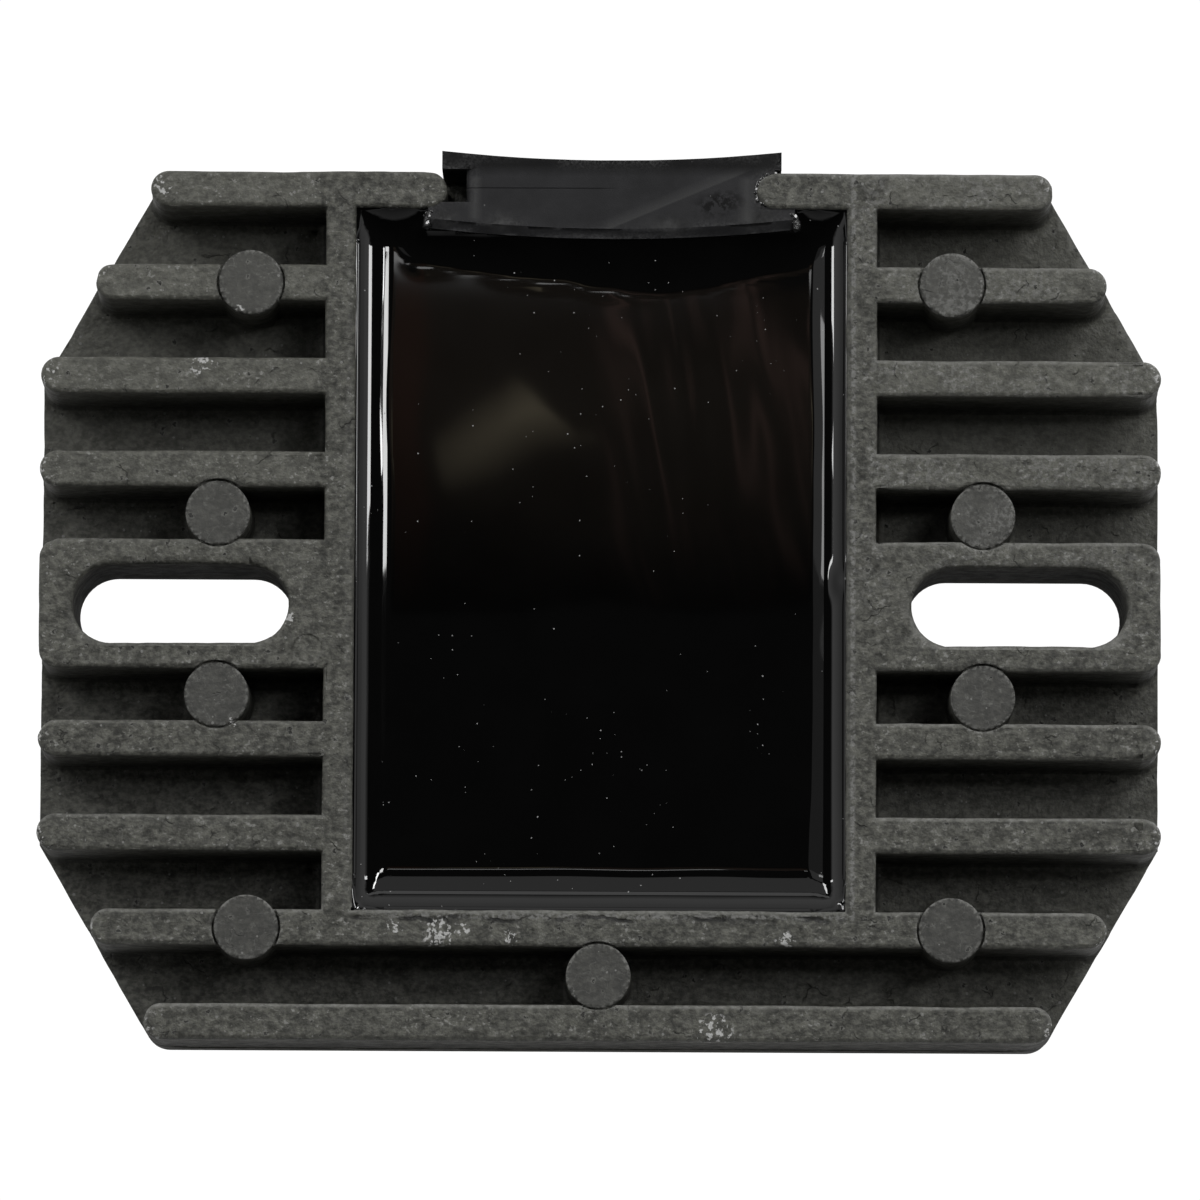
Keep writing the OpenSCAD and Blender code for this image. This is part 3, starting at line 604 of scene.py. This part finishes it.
def widened(mesh, values, rounds=2):
    """Lets values fade out over the neighbouring points."""
    for _ in range(rounds):
        values = np.maximum(values * 0.8, (values + around(mesh, values)) / 2)
    return values


def paint(mesh, **masks):
    """Keeps masks on the mesh's points, for the materials to read."""
    for name, values in masks.items():
        mesh.attributes.new(name, "FLOAT", "POINT").data.foreach_set("value", values.astype(np.float32))


def waves(places, size_mm, shift=0.0):
    """Smooth noise between -1 and 1 at the places, with waves of about that size."""
    scaled = places / (size_mm * MM) + shift
    return np.array([noise.noise(Vector(p)) for p in scaled])


print("mask helpers ready")

# %% [markdown]
# ## The casting
# A die casting has soft waves from the mould's wear, and its edges crumble a little where the metal filled
# badly. The points move along their normals: a long wave everywhere, and a short one that only eats into
# the edges. The edge below the resin is broken, and the plate's corners are drawn in to a round. Nothing
# moves outward past the CAD's box, and the flat back stays flat. Weighted normals keep the flats flat.

# %% Casting mesh
PADS = [(x, y) for x in (-31.15, 31.15) for y in (-28.7, 28.7)]
PADS += [(x, y) for x in (-33.95, 33.95) for y in (-8.08, 8.08)] + [(0, -32.88)]
PAD_R, PIN_MARK = 2.9, (-26.4, -3.5)
PLATE_X, PLATE_Y, CUT_X, CUT_TURN, CORNER_R = 50, 38.93, 10.4, math.radians(60), 2.2
CORNER_X, CORNER_Y = PLATE_X - CUT_X - CORNER_R * math.tan(CUT_TURN / 2), PLATE_Y - CORNER_R
PLATE_Z, EDGE_Z, CRUST_REACH = 4.5, 14.4, 0.9
GRID, FINE_GRID = (0.9, 0.9, 2.2), 0.3


def front(face):
    """All faces but the flat back."""
    return face.normal.z > -0.9


def needs_detail(face):
    """Faces of the pads, the pin mark, the broken edge below the resin and the plate's corners."""
    x, y, z = face.calc_center_median() / MM
    crust = abs(x) < RIM_X and abs(y - CRUST_Y) < CRUST_REACH and z > 14
    pad = z > 14 and any(math.hypot(x - a, y - b) < PAD_R + 0.6 for a, b in (*PADS, PIN_MARK))
    corner = z < 6 and math.hypot(abs(x) - CORNER_X, abs(y) - CORNER_Y) < CORNER_R + 0.5
    return front(face) and (crust or pad or corner)


bm = welded("heat_sink_housing")
for axis, step in enumerate(GRID):
    cut_grid(bm, axis, step * MM, front)
for axis in (0, 1):
    cut_grid(bm, axis, FINE_GRID * MM, needs_detail)
casting = as_piece(bm, "casting", cast_alloy, "cast_alloy", "heat_sink_housing")
print("casting triangles:", len(casting.data.polygons))

# %% Painted masks of the casting
CHIPS = [  # x, y and reach in millimetres
    (-14.0, -29.2, 1.5), (-18.1, -28.8, 0.8), (-11.9, -28.8, 0.6), (-7.8, -29.7, 0.8), (10.2, -37.9, 1.7),
    (-35.4, 21.6, 1.3), (16.5, -29.8, 0.9), (-38.9, 37.0, 0.8), (-48.7, 20.8, 0.7), (-38.8, 19.8, 0.5),
    (-27.6, -1.3, 0.6), (-47.6, 2.3, 0.4), (-32.5, -10.6, 0.5), (-32.2, 26.4, 0.5),
]
TIP_CHIPS, TIP_REACH = 0.75, 1.8
FULL_WEAR, PAD_RIM = 0.02, 0.45
SIDE_TOP, SIDE_FADE = 12.5, 4.5

mesh = casting.data
places, normals = read_points(mesh)
x, y, z = (places / MM).T
proud = convex(mesh, FULL_WEAR)
edge = widened(mesh, proud)
# lit_edge is partly wear, the proud and rounded edges, and partly painted highlight: strongest where normals
# face +y, towards the lamps; edge_lightening makes it stronger to the right and at the bottom.
rounded = np.clip((1 - normals[:, 2]) * 4, 0, 1) * (normals[:, 2] > 0.05) * (z > EDGE_Z)
edge_lightening = 0.35 + 0.65 * np.clip((x + 5) / 30, 0, 1) + 0.65 * np.clip((-y - 15) / 18, 0, 1)
edge_lightening = np.clip(edge_lightening - 0.3 * np.clip((y - 5) / 12, 0, 1), 0, 1)
lit_edge = np.maximum(proud, rounded) * np.clip(normals[:, 1] * 1.5 + 0.3, 0.2, 1) * edge_lightening
# low_edge: proud edges that face away from the lamps, for the painted shade below.
low_edge = widened(mesh, proud * np.clip(-normals[:, 1] * 1.5, 0, 1), 3)
on_top = z > 13.5
on_pad = np.max([np.hypot(x - a, y - b) < PAD_R for a, b in PADS], axis=0) & (z > 14.5)
to_side = np.minimum(PLATE_X - abs(x), (PLATE_X - abs(x)) * math.sin(CUT_TURN)
                     + (PLATE_Y - CUT_X * math.tan(CUT_TURN) - abs(y)) * math.cos(CUT_TURN))
chipped = np.clip((TIP_REACH - to_side) / 1.2, 0, 1) * (abs(y) > 7) * TIP_CHIPS
for chip_x, chip_y, reach in CHIPS:
    chipped = np.maximum(chipped, np.clip(1.6 - np.hypot(x - chip_x, y - chip_y) / reach, 0, 1.4))
gap_floor = z < PLATE_Z + 0.2
# Painted shade: the fin sides below SIDE_TOP, more where they face away from the lamps, the gap floors and
# the low edges.
sides = np.clip((SIDE_TOP - z) / SIDE_FADE, 0, 1) * ~gap_floor
foot = widened(mesh, sides * (normals[:, 1] < -0.3), 5)
deep = np.max([sides, foot, 0.35 * gap_floor, 0.7 * low_edge * (abs(y) > 5)], axis=0)
# Painted light: beyond |x| 25 the colour lightens towards the upper end, and the gap floors lighten towards
# the right.
faded = 0.26 * np.clip((y + 2) / 20, 0, 1) * (abs(x) > 25) + 0.12 * gap_floor * np.clip(x / 20, 0, 1)
from_rim = np.min([abs(np.hypot(x - a, y - b) - PAD_R) for a, b in PADS], axis=0)
pad_rim = np.clip(1 - from_rim / PAD_RIM, 0, 1)
paint(mesh, edge=lit_edge, pad=on_pad, pad_rim=pad_rim * on_top, chipped=chipped * on_top, deep=deep,
      faded=faded)
print("edge points:", int((edge > 0.5).sum()), "pad points:", int(on_pad.sum()), "of", len(edge))

# %% Casting waves and wear
LONG_SWELL, SHORT_SWELL, CRUMBLE, CRUST_DEPTH = 0.07, 0.045, 0.3, 0.25

above_back = np.clip((z - 0.7) / 1.5, 0, 1)
swell = LONG_SWELL * waves(places, 7) + SHORT_SWELL * waves(places, 2.6, 40)
crumble = -CRUMBLE * edge * np.clip(waves(places, 1.9, 80) + 0.4 * waves(places, 0.8, 120) - 0.12, 0, 1)
by_pad = np.max([np.clip(1.8 - np.hypot(x - a, y - b) / PAD_R, 0, 1) for a, b in PADS], axis=0)
places += normals * ((swell + crumble) * (1 - by_pad) * above_back * MM)[:, None]
crust = np.exp(-((2.2 * (y - CRUST_Y) / CRUST_REACH) ** 2)) * (abs(x) < RIM_X) * on_top
eaten = np.clip(waves(places, 1.6, 30) + 0.6 * waves(places, 0.6, 50), 0, 1)
places[:, 2] -= CRUST_DEPTH * MM * crust * eaten
print("casting waves between mm", round(swell.min(), 2), "and", round(swell.max(), 2))

# %% Round corners of the plate
out_x, out_y = abs(x) - CORNER_X, abs(y) - CORNER_Y
out = np.hypot(out_x, out_y)
round_off = np.where((out > CORNER_R) & (out_y > 0) & (out_x > 0), CORNER_R / np.maximum(out, CORNER_R), 1)
round_off = np.where(np.arctan2(out_y, out_x) > math.pi / 2 - CUT_TURN, round_off, 1)
places[:, 0] += np.sign(x) * out_x * (round_off - 1) * MM
places[:, 1] += np.sign(y) * out_y * (round_off - 1) * MM
print("corner points drawn in:", int((round_off < 1).sum()))

# %% Casting shading
SHARP_METAL = 38

low, high = (np.array(corner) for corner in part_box("heat_sink_housing"))
write_points(mesh, np.clip(places, low, high), SHARP_METAL)
crisp(casting)
print("casting kept inside mm", [[round(v / MM, 2) for v in corner] for corner in (low, high)])

# %% [markdown]
# ## The resin
# Poured resin is flat in the middle and climbs the walls in a hollow curve. The CAD has that curve in a few
# facets, which a mirror would show, so the top is cut fine and each point gets its height from the curve
# itself, with low ripples added. At the walls a thin lap of resin runs on over the rim.

# %% Resin surface
RESIN_FLAT, RESIN_EDGE = 12.8, 14.3
WELL_X, WELL_Y0, WELL_Y1 = 21.8, -27.1, 35.45
SIDE_CLIMB, FOOT_CLIMB = 3.3, 4.1
FLANGE_X0, FLANGE_X1 = (corner[0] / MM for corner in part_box("wire_grommet"))
FLANGE_BOW, FLANGE_MIDDLE = 0.9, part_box("wire_grommet")[0][1] / MM
FLANGE_CLIMB, FLANGE_LIFT = 3.4, 0.95
KINK_X, KINK_Y, KINK_HIGH = 21.2, 2.3, 0.25


def bell(value, middle, width):
    return math.exp(-(((value - middle) / width) ** 2))


def ripple_at(size_x, size_y, x, y, layer):
    """Smooth noise between -1 and 1, stretched by size_x and size_y millimetres."""
    return noise.noise(Vector((x / size_x, y / size_y, layer)))


def climb(into, width, rise):
    """Height of a hollow curve that starts level and ends at a wall, into it by that much of its width."""
    radius = (width**2 + rise**2) / (2 * rise)
    into = min(max(into, 0), width)
    return radius - math.sqrt(radius**2 - into**2)


def resin_height(x, y):
    """Height of the resin's face in millimetres: the climbs at the walls and the grommet, and low ripples."""
    rise = RESIN_EDGE - RESIN_FLAT
    side = SIDE_CLIMB + 0.3 * ripple_at(40, 11, x, y, 7) + 0.06 * ripple_at(40, 5, x, y, 11)
    foot = FOOT_CLIMB + 0.1 * ripple_at(7, 90, x, y, 9)
    into_side = max((abs(x) - WELL_X) / side + 1, 0)
    into_foot = max((WELL_Y0 - y) / foot + 1, 0)
    into = (into_side**4 + into_foot**4) ** 0.25
    width = (side * into_side**2 + foot * into_foot**2) / (into_side**2 + into_foot**2) if into else side
    along = (x - (FLANGE_X0 + FLANGE_X1) / 2) / (FLANGE_X1 - FLANGE_X0) * 2
    face = FLANGE_MIDDLE + FLANGE_BOW * min(along**2, 1)
    away = math.hypot(max(FLANGE_X0 - x, x - FLANGE_X1, 0), max(face - y, 0))
    reach = FLANGE_CLIMB + 1.7 * bell(x, 5.3, 8) + 0.3 * ripple_at(3, 90, x, y, 1)
    lift = FLANGE_LIFT + 0.1 * ripple_at(4, 90, x, y, 2)
    left = 1.0
    for height in (climb(into * width, width, rise), climb(y - WELL_Y1 + side, side, rise),
                   climb(reach - away, reach, lift)):
        left *= 1 - height / rise
    height = rise * (1 - left)
    calm = 1 - min(height / 0.5, 1)
    streaks = 0.006 * ripple_at(2.2, 16, x + 0.18 * y, y, 1) * bell(x, 10, 10) * bell(y, 17, 12)
    crest = bell(x, -15.5, 1.6) + bell(x, -6, 3.2) + 0.4 * bell(x, 1, 3) + 0.25 * bell(x, 13, 2)
    ridge = 0.012 * bell(away, reach + 0.3, 0.5) * crest * (1 + ripple_at(3, 90, x, y, 3))
    kink = KINK_HIGH * bell(math.hypot(x - KINK_X, (y - KINK_Y) * 0.6), 0, 0.7)
    return RESIN_FLAT + height + ridge + calm * (streaks + 0.005 * ripple_at(9, 9, x, y, 3)) + kink


print("resin height at the middle and at a wall:", [round(resin_height(x, 0), 3) for x in (0, WELL_X)])

# %% Resin mesh
LAP, LAP_RISE, HEAD_LAP = 0.32, 0.5, 0.6
RESIN_LOW, RESIN_GRID, RIM_NEAR = 12.5, 0.35, 0.3


def resin_top(face):
    return face.normal.z > 0.35 and face.calc_center_median().z > RESIN_LOW * MM


bm = welded("potting_resin")
for axis in (0, 1):
    cut_grid(bm, axis, RESIN_GRID * MM, resin_top)
top = {v for f in bm.faces if resin_top(f) for v in f.verts}
for v in top:
    v.co.z = resin_height(v.co.x / MM, v.co.y / MM) * MM
rim = {v for v in top if not all(resin_top(f) for f in v.link_faces)}
for v in rim:
    x, y = v.co.x / MM, v.co.y / MM
    by_side = abs(x) > WELL_X - RIM_NEAR
    by_foot, by_head = y < WELL_Y0 + RIM_NEAR, y > WELL_Y1 - RIM_NEAR
    if by_side:
        v.co.x += math.copysign(LAP, x) * MM
    if by_foot or by_head:
        v.co.y += (HEAD_LAP if by_head else -LAP) * MM
    if by_side or by_foot or by_head:
        v.co.z = FIN_TOP - 0.02 * MM if by_head else (RESIN_EDGE + LAP_RISE) * MM
resin_fill = as_piece(bm, "resin_fill", resin, "resin", "potting_resin")
places, normals = read_points(resin_fill.data)
write_points(resin_fill.data, places, 50)
print("resin triangles:", len(resin_fill.data.polygons), "top points:", len(top), "rim points:", len(rim))

# %% [markdown]
# ## The grommet
# The grommet is moulded rubber. Its edges are rounder than the CAD's, most of all the upright ones outside,
# so a bevel goes round them before the mesh is cut fine. Then the points wander a little, and a mask marks
# where the rubber is scuffed.

# %% Grommet mesh
OUTER_Y, OUTER_ROUND, EDGE_ROUND = 38.95, 0.8, 0.35
RUBBER_GRID = (0.5, 0.5, 1.0)


def sharp_edges():
    return [e for e in bm.edges if len(e.link_faces) == 2 and e.calc_face_angle() > math.radians(40)]


def round_off_edges(edges, radius_mm, segments):
    bmesh.ops.bevel(bm, geom=edges, offset=radius_mm * MM, segments=segments, profile=0.5, affect="EDGES",
                    clamp_overlap=True)


bm = welded("wire_grommet")
upright = [e for e in sharp_edges() if abs(e.verts[0].co.z - e.verts[1].co.z) > 2 * MM
           and min(v.co.y for v in e.verts) > OUTER_Y * MM]
round_off_edges(upright, OUTER_ROUND, 4)
round_off_edges(sharp_edges(), EDGE_ROUND, 3)
for axis, step in enumerate(RUBBER_GRID):
    cut_grid(bm, axis, step * MM, lambda face: True)
grommet = as_piece(bm, "grommet", rubber, "grommet_rubber", "wire_grommet")
print("rounded upright edges:", len(upright), "grommet triangles:", len(grommet.data.polygons))

# %% Grommet wear
SCUFFS = [  # x, y and reach in millimetres
    (-14, 34.6, 1.0), (-9, 34.2, 1.2), (13.8, 34.6, 1.6), (6, 33.9, 1.5), (-13, 39.4, 0.6), (14.6, 39.4, 0.6),
]

mesh = grommet.data
places, normals = read_points(mesh)
x, y, z = (places / MM).T
edge = widened(mesh, convex(mesh, FULL_WEAR))
scuffed = np.zeros(len(x))
for mark_x, mark_y, reach in SCUFFS:
    scuffed = np.maximum(scuffed, np.exp(-(((x - mark_x) / reach) ** 2) - ((y - mark_y) / 0.8) ** 2))
paint(mesh, edge=edge, scuffed=scuffed)
dents = 0.03 * waves(places, 4) - 0.02 * edge * np.abs(waves(places, 1.2, 30))
places += normals * (dents * MM)[:, None]
low, high = (np.array(corner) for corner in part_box("wire_grommet"))
write_points(mesh, np.clip(places, low, high), 40)
crisp(grommet)
print("grommet dents between mm", round(dents.min(), 3), "and", round(dents.max(), 3))

# %% [markdown]
# ## Beads of resin
# Where the grommet meets the wall end and at the tips of its flange, some resin was squeezed out and set as
# small glossy beads. Each is a lumpy tube along a short path, closed at both ends.

# %% Resin beads
BEADS = {  # path in millimetres, and radius
    "wall_end": ([(15.6, 38.75), (14.7, 38.5), (13.95, 37.9), (13.65, 37.1), (13.8, 36.2), (14.6, 35.75),
                  (16, 35.6)], 0.34),
    "tip_left": ([(-14.9, 35.3), (-15.4, 34.9), (-15.6, 34.2), (-15.5, 33.5)], 0.36),
    "tip_right": ([(16.6, 35.2), (17.1, 34.8), (17.35, 34.1), (17.2, 33.4)], 0.36),
}
BEAD_Z, RING, SPAN_STEPS = 14.5, 12, 8

bm = bmesh.new()
for number, (path, radius) in enumerate(BEADS.values()):
    path = [Vector((*point, BEAD_Z)) for point in path]
    steps = SPAN_STEPS * (len(path) - 1)
    rings = []
    for i in range(steps + 1):
        part = min(i // SPAN_STEPS, len(path) - 2)
        middle = path[part].lerp(path[part + 1], i / SPAN_STEPS - part)
        ahead = (path[part + 1] - path[part]).normalized()
        lump = 1 + 0.45 * noise.noise(Vector((i * 0.45, number * 5, 0)))
        size = radius * lump * min(1, 0.25 + math.sin(math.pi * i / steps) * 2)
        side = Vector((-ahead.y, ahead.x, 0))
        turns = [2 * math.pi * k / RING for k in range(RING)]
        ring = [middle + size * (side * math.cos(a) + Vector((0, 0, math.sin(a)))) for a in turns]
        rings.append([bm.verts.new(point * MM) for point in ring])
    for one, two in zip(rings, rings[1:]):
        for k in range(RING):
            bm.faces.new((one[k], one[k - 1], two[k - 1], two[k]))
    bm.faces.new(rings[0])
    bm.faces.new(rings[-1][::-1])
bmesh.ops.recalc_face_normals(bm, faces=bm.faces)
beads = as_piece(bm, "resin_beads", flash, "resin")
places, normals = read_points(beads.data)
write_points(beads.data, places, 60)
print("bead triangles:", len(beads.data.polygons))

# %% [markdown]
# ## The parts inside the resin
# These stay as the CAD has them, because nothing shows of them. Each takes the finish of its record slot.

# %% Finishes of the parts inside
DRESSED = ("heat_sink_housing", "potting_resin", "wire_grommet")

for part in frame["record"]["subparts"]:
    if part["node"] in DRESSED:
        continue
    node = nodes[part["node"]]
    node.data.materials.clear()
    node.data.materials.append(inside_finish[part["material_slot"]])
print("inner nodes finished:", len(nodes) - len(DRESSED))

# %% [markdown]
# ## Floor and light
# The object lies on a plain white floor. Two narrow panels, right and left above the grommet's side, are the
# main light, so the fins throw short shadows towards the viewer. Weaker panels fill in between and behind.
# The resin mirrors them all: small and strong ones draw the bright lines along its climbs, and the room
# stays dark straight overhead, which is what the flat of the resin shows.

# %% Floor
FLOOR_DROP, FLOOR_HALF = 0.02 * MM, 2.0

floor_mesh = bpy.data.meshes.new("floor")
bm = bmesh.new()
bmesh.ops.create_grid(bm, x_segments=8, y_segments=8, size=FLOOR_HALF)
bm.to_mesh(floor_mesh)
bm.free()
floor = bpy.data.objects.new("floor", floor_mesh)
floor.location.z = -FLOOR_DROP
scene.collection.objects.link(floor)
white, tree, shader = new_material("white_floor", Roughness=0.9, Base_Color=grey(0.6),
                                   Emission_Color=grey(1), Emission_Strength=0.06)
glow = place(tree, "ShaderNodeEmission", {"Strength": 1.05})
seen = place(tree, "ShaderNodeLightPath").outputs["Is Camera Ray"]
blend = place(tree, "ShaderNodeMixShader", {0: seen, 1: shader.outputs[0], 2: glow.outputs[0]})
tree.links.new(blend.outputs[0], tree.nodes["Material Output"].inputs["Surface"])
floor_mesh.materials.append(white)
print("floor at mm", round(floor.location.z / MM, 3))

# %% Lights
LAMP_HEIGHT = 1.3


def panel(name, x_deg, y_deg, radiance, lower=0.0):
    """Level area light, with its sides at these angles from straight up, as the object sees them."""
    height = LAMP_HEIGHT - lower
    x0, x1, y0, y1 = (height * math.tan(math.radians(a)) for a in (*x_deg, *y_deg))
    light = bpy.data.lights.new(name, "AREA")
    light.shape, light.size, light.size_y = "RECTANGLE", x1 - x0, y1 - y0
    light.energy = radiance * math.pi * light.size * light.size_y
    lamp = bpy.data.objects.new(name, light)
    lamp.location = ((x0 + x1) / 2, (y0 + y1) / 2, height)
    lamp.visible_camera = False
    scene.collection.objects.link(lamp)


panel("key_right", (21, 25.5), (8, 38), 26.5)
panel("hot_right", (11, 19), (5.8, 8.9), 16)
panel("key_left", (-37, -31), (19, 42), 15.5)
panel("fill_left", (-33, -6), (5.8, 18), 0.5)
panel("fill_left_low", (-33, -6), (1.5, 5.8), 0.2)
panel("edge_left", (-33, -27), (6.5, 9), 5, lower=0.01)
panel("strip_right", (52, 58), (10, 16), 15)
panel("strip_left", (-58, -52), (12, 16), 15)
panel("back_low", (-30, 20), (21, 45), 0.5)
panel("back_high", (-40, 40), (46, 51), 1.2)
panel("bar", (-2.4, 1.2), (8.4, 9.2), 3, lower=0.01)

# %% Room
world = bpy.data.worlds.new("studio")
scene.world = world
world.use_nodes = True
tree = world.node_tree
direction = place(tree, "ShaderNodeTexCoord").outputs["Generated"]
toward = place(tree, "ShaderNodeSeparateXYZ", {0: direction}).outputs
walls = times(tree, spread(tree, toward[2], 0.0, 0.5, 0.3, 0.9), spread(tree, toward[1], -0.7, 0.1, 0.35, 1))
dark_above = spread(tree, toward[2], 0.52, 0.6, 1.0, 0.03)
tree.links.new(times(tree, walls, dark_above), tree.nodes["Background"].inputs["Strength"])
tree.nodes["Background"].inputs["Color"].default_value = grey(1)
scene.view_settings.view_transform = "Standard"
print("room:", world.name, "with", len(tree.nodes), "nodes")

# %% [markdown]
# ## What the resin mirrors
# The upper half of the resin shows the room above the camera as a faint warm haze, with a pale wedge from a
# window and reddish streaks. A card overhead stands in for it. The haze comes from the patches group, the
# wedge is what lies to the left of three lines, and all of it fades out towards one side.

# %% Glow of the ceiling card
CARD_X, CARD_Y, CARD_FADE = (-58, 62), (118, 190), 45
WINDOW_X = -35
WINDOW_LINES = [  # start, turn in degrees, width of the soft side
    ((-35, 143), 17, 11), ((-35, 158), 218, 9), ((-19.5, 170), 137.5, 0.8),
]
STREAK_TURN, STREAK_WIDE, STREAK_LONG = math.radians(17), 5, 60
STREAKS_X, DOOR_X = (4, 44), (-46, -40)

haze = bpy.data.materials.new("ceiling_haze")
haze.use_nodes = True
tree = haze.node_tree
tree.nodes.clear()
where = millimetres(tree)
cloud = use_group(tree, patches, Size=40.0, Softness=0.2, Dark=(0.06, 0.045, 0.035, 1),
                  Light=(0.15, 0.125, 0.10, 1))
window = spread(tree, where[0], WINDOW_X - 0.5, WINDOW_X + 0.5)
for start, degrees, soft in WINDOW_LINES:
    along, across = turned(tree, where, math.radians(degrees), *start)
    window = times(tree, window, spread(tree, across, 0, soft))
colour = mix_colour(tree, window, cloud["Color"], (0.95, 0.82, 0.58, 1))
along, across = turned(tree, where, STREAK_TURN - math.pi / 2, 0, 0)
spot = place(tree, "ShaderNodeCombineXYZ", {0: math_node(tree, "DIVIDE", along, STREAK_LONG),
                                            1: math_node(tree, "DIVIDE", across, STREAK_WIDE)}).outputs[0]
streaks = spread(tree, cloudy(tree, spot, 2.0)[0], 0.5, 0.66)
colour = stain(tree, colour, streaks, between(tree, where[0], *STREAKS_X, 8), (0.5, 0.32, 0.27, 1))
colour = stain(tree, colour, between(tree, where[0], *DOOR_X, 2), 0.7, (0.22, 0.11, 0.08, 1))
fade = spread(tree, where[1], CARD_Y[0], CARD_Y[0] + CARD_FADE)
glow = place(tree, "ShaderNodeEmission", {"Color": colour, "Strength": fade})
place(tree, "ShaderNodeOutputMaterial", {"Surface": glow.outputs[0]})
print("material", haze.name, "with", len(tree.nodes), "nodes")

# %% Ceiling card
card_mesh = bpy.data.meshes.new("ceiling_card")
corners = [(x * MM, y * MM, LAMP_HEIGHT) for x in CARD_X for y in CARD_Y]
card_mesh.from_pydata(corners, [], [(0, 1, 3, 2)])
card_mesh.materials.append(haze)
card = bpy.data.objects.new("ceiling_card", card_mesh)
card.visible_camera = False
scene.collection.objects.link(card)
print("ceiling card size mm:", [round(v / MM) for v in card.dimensions])
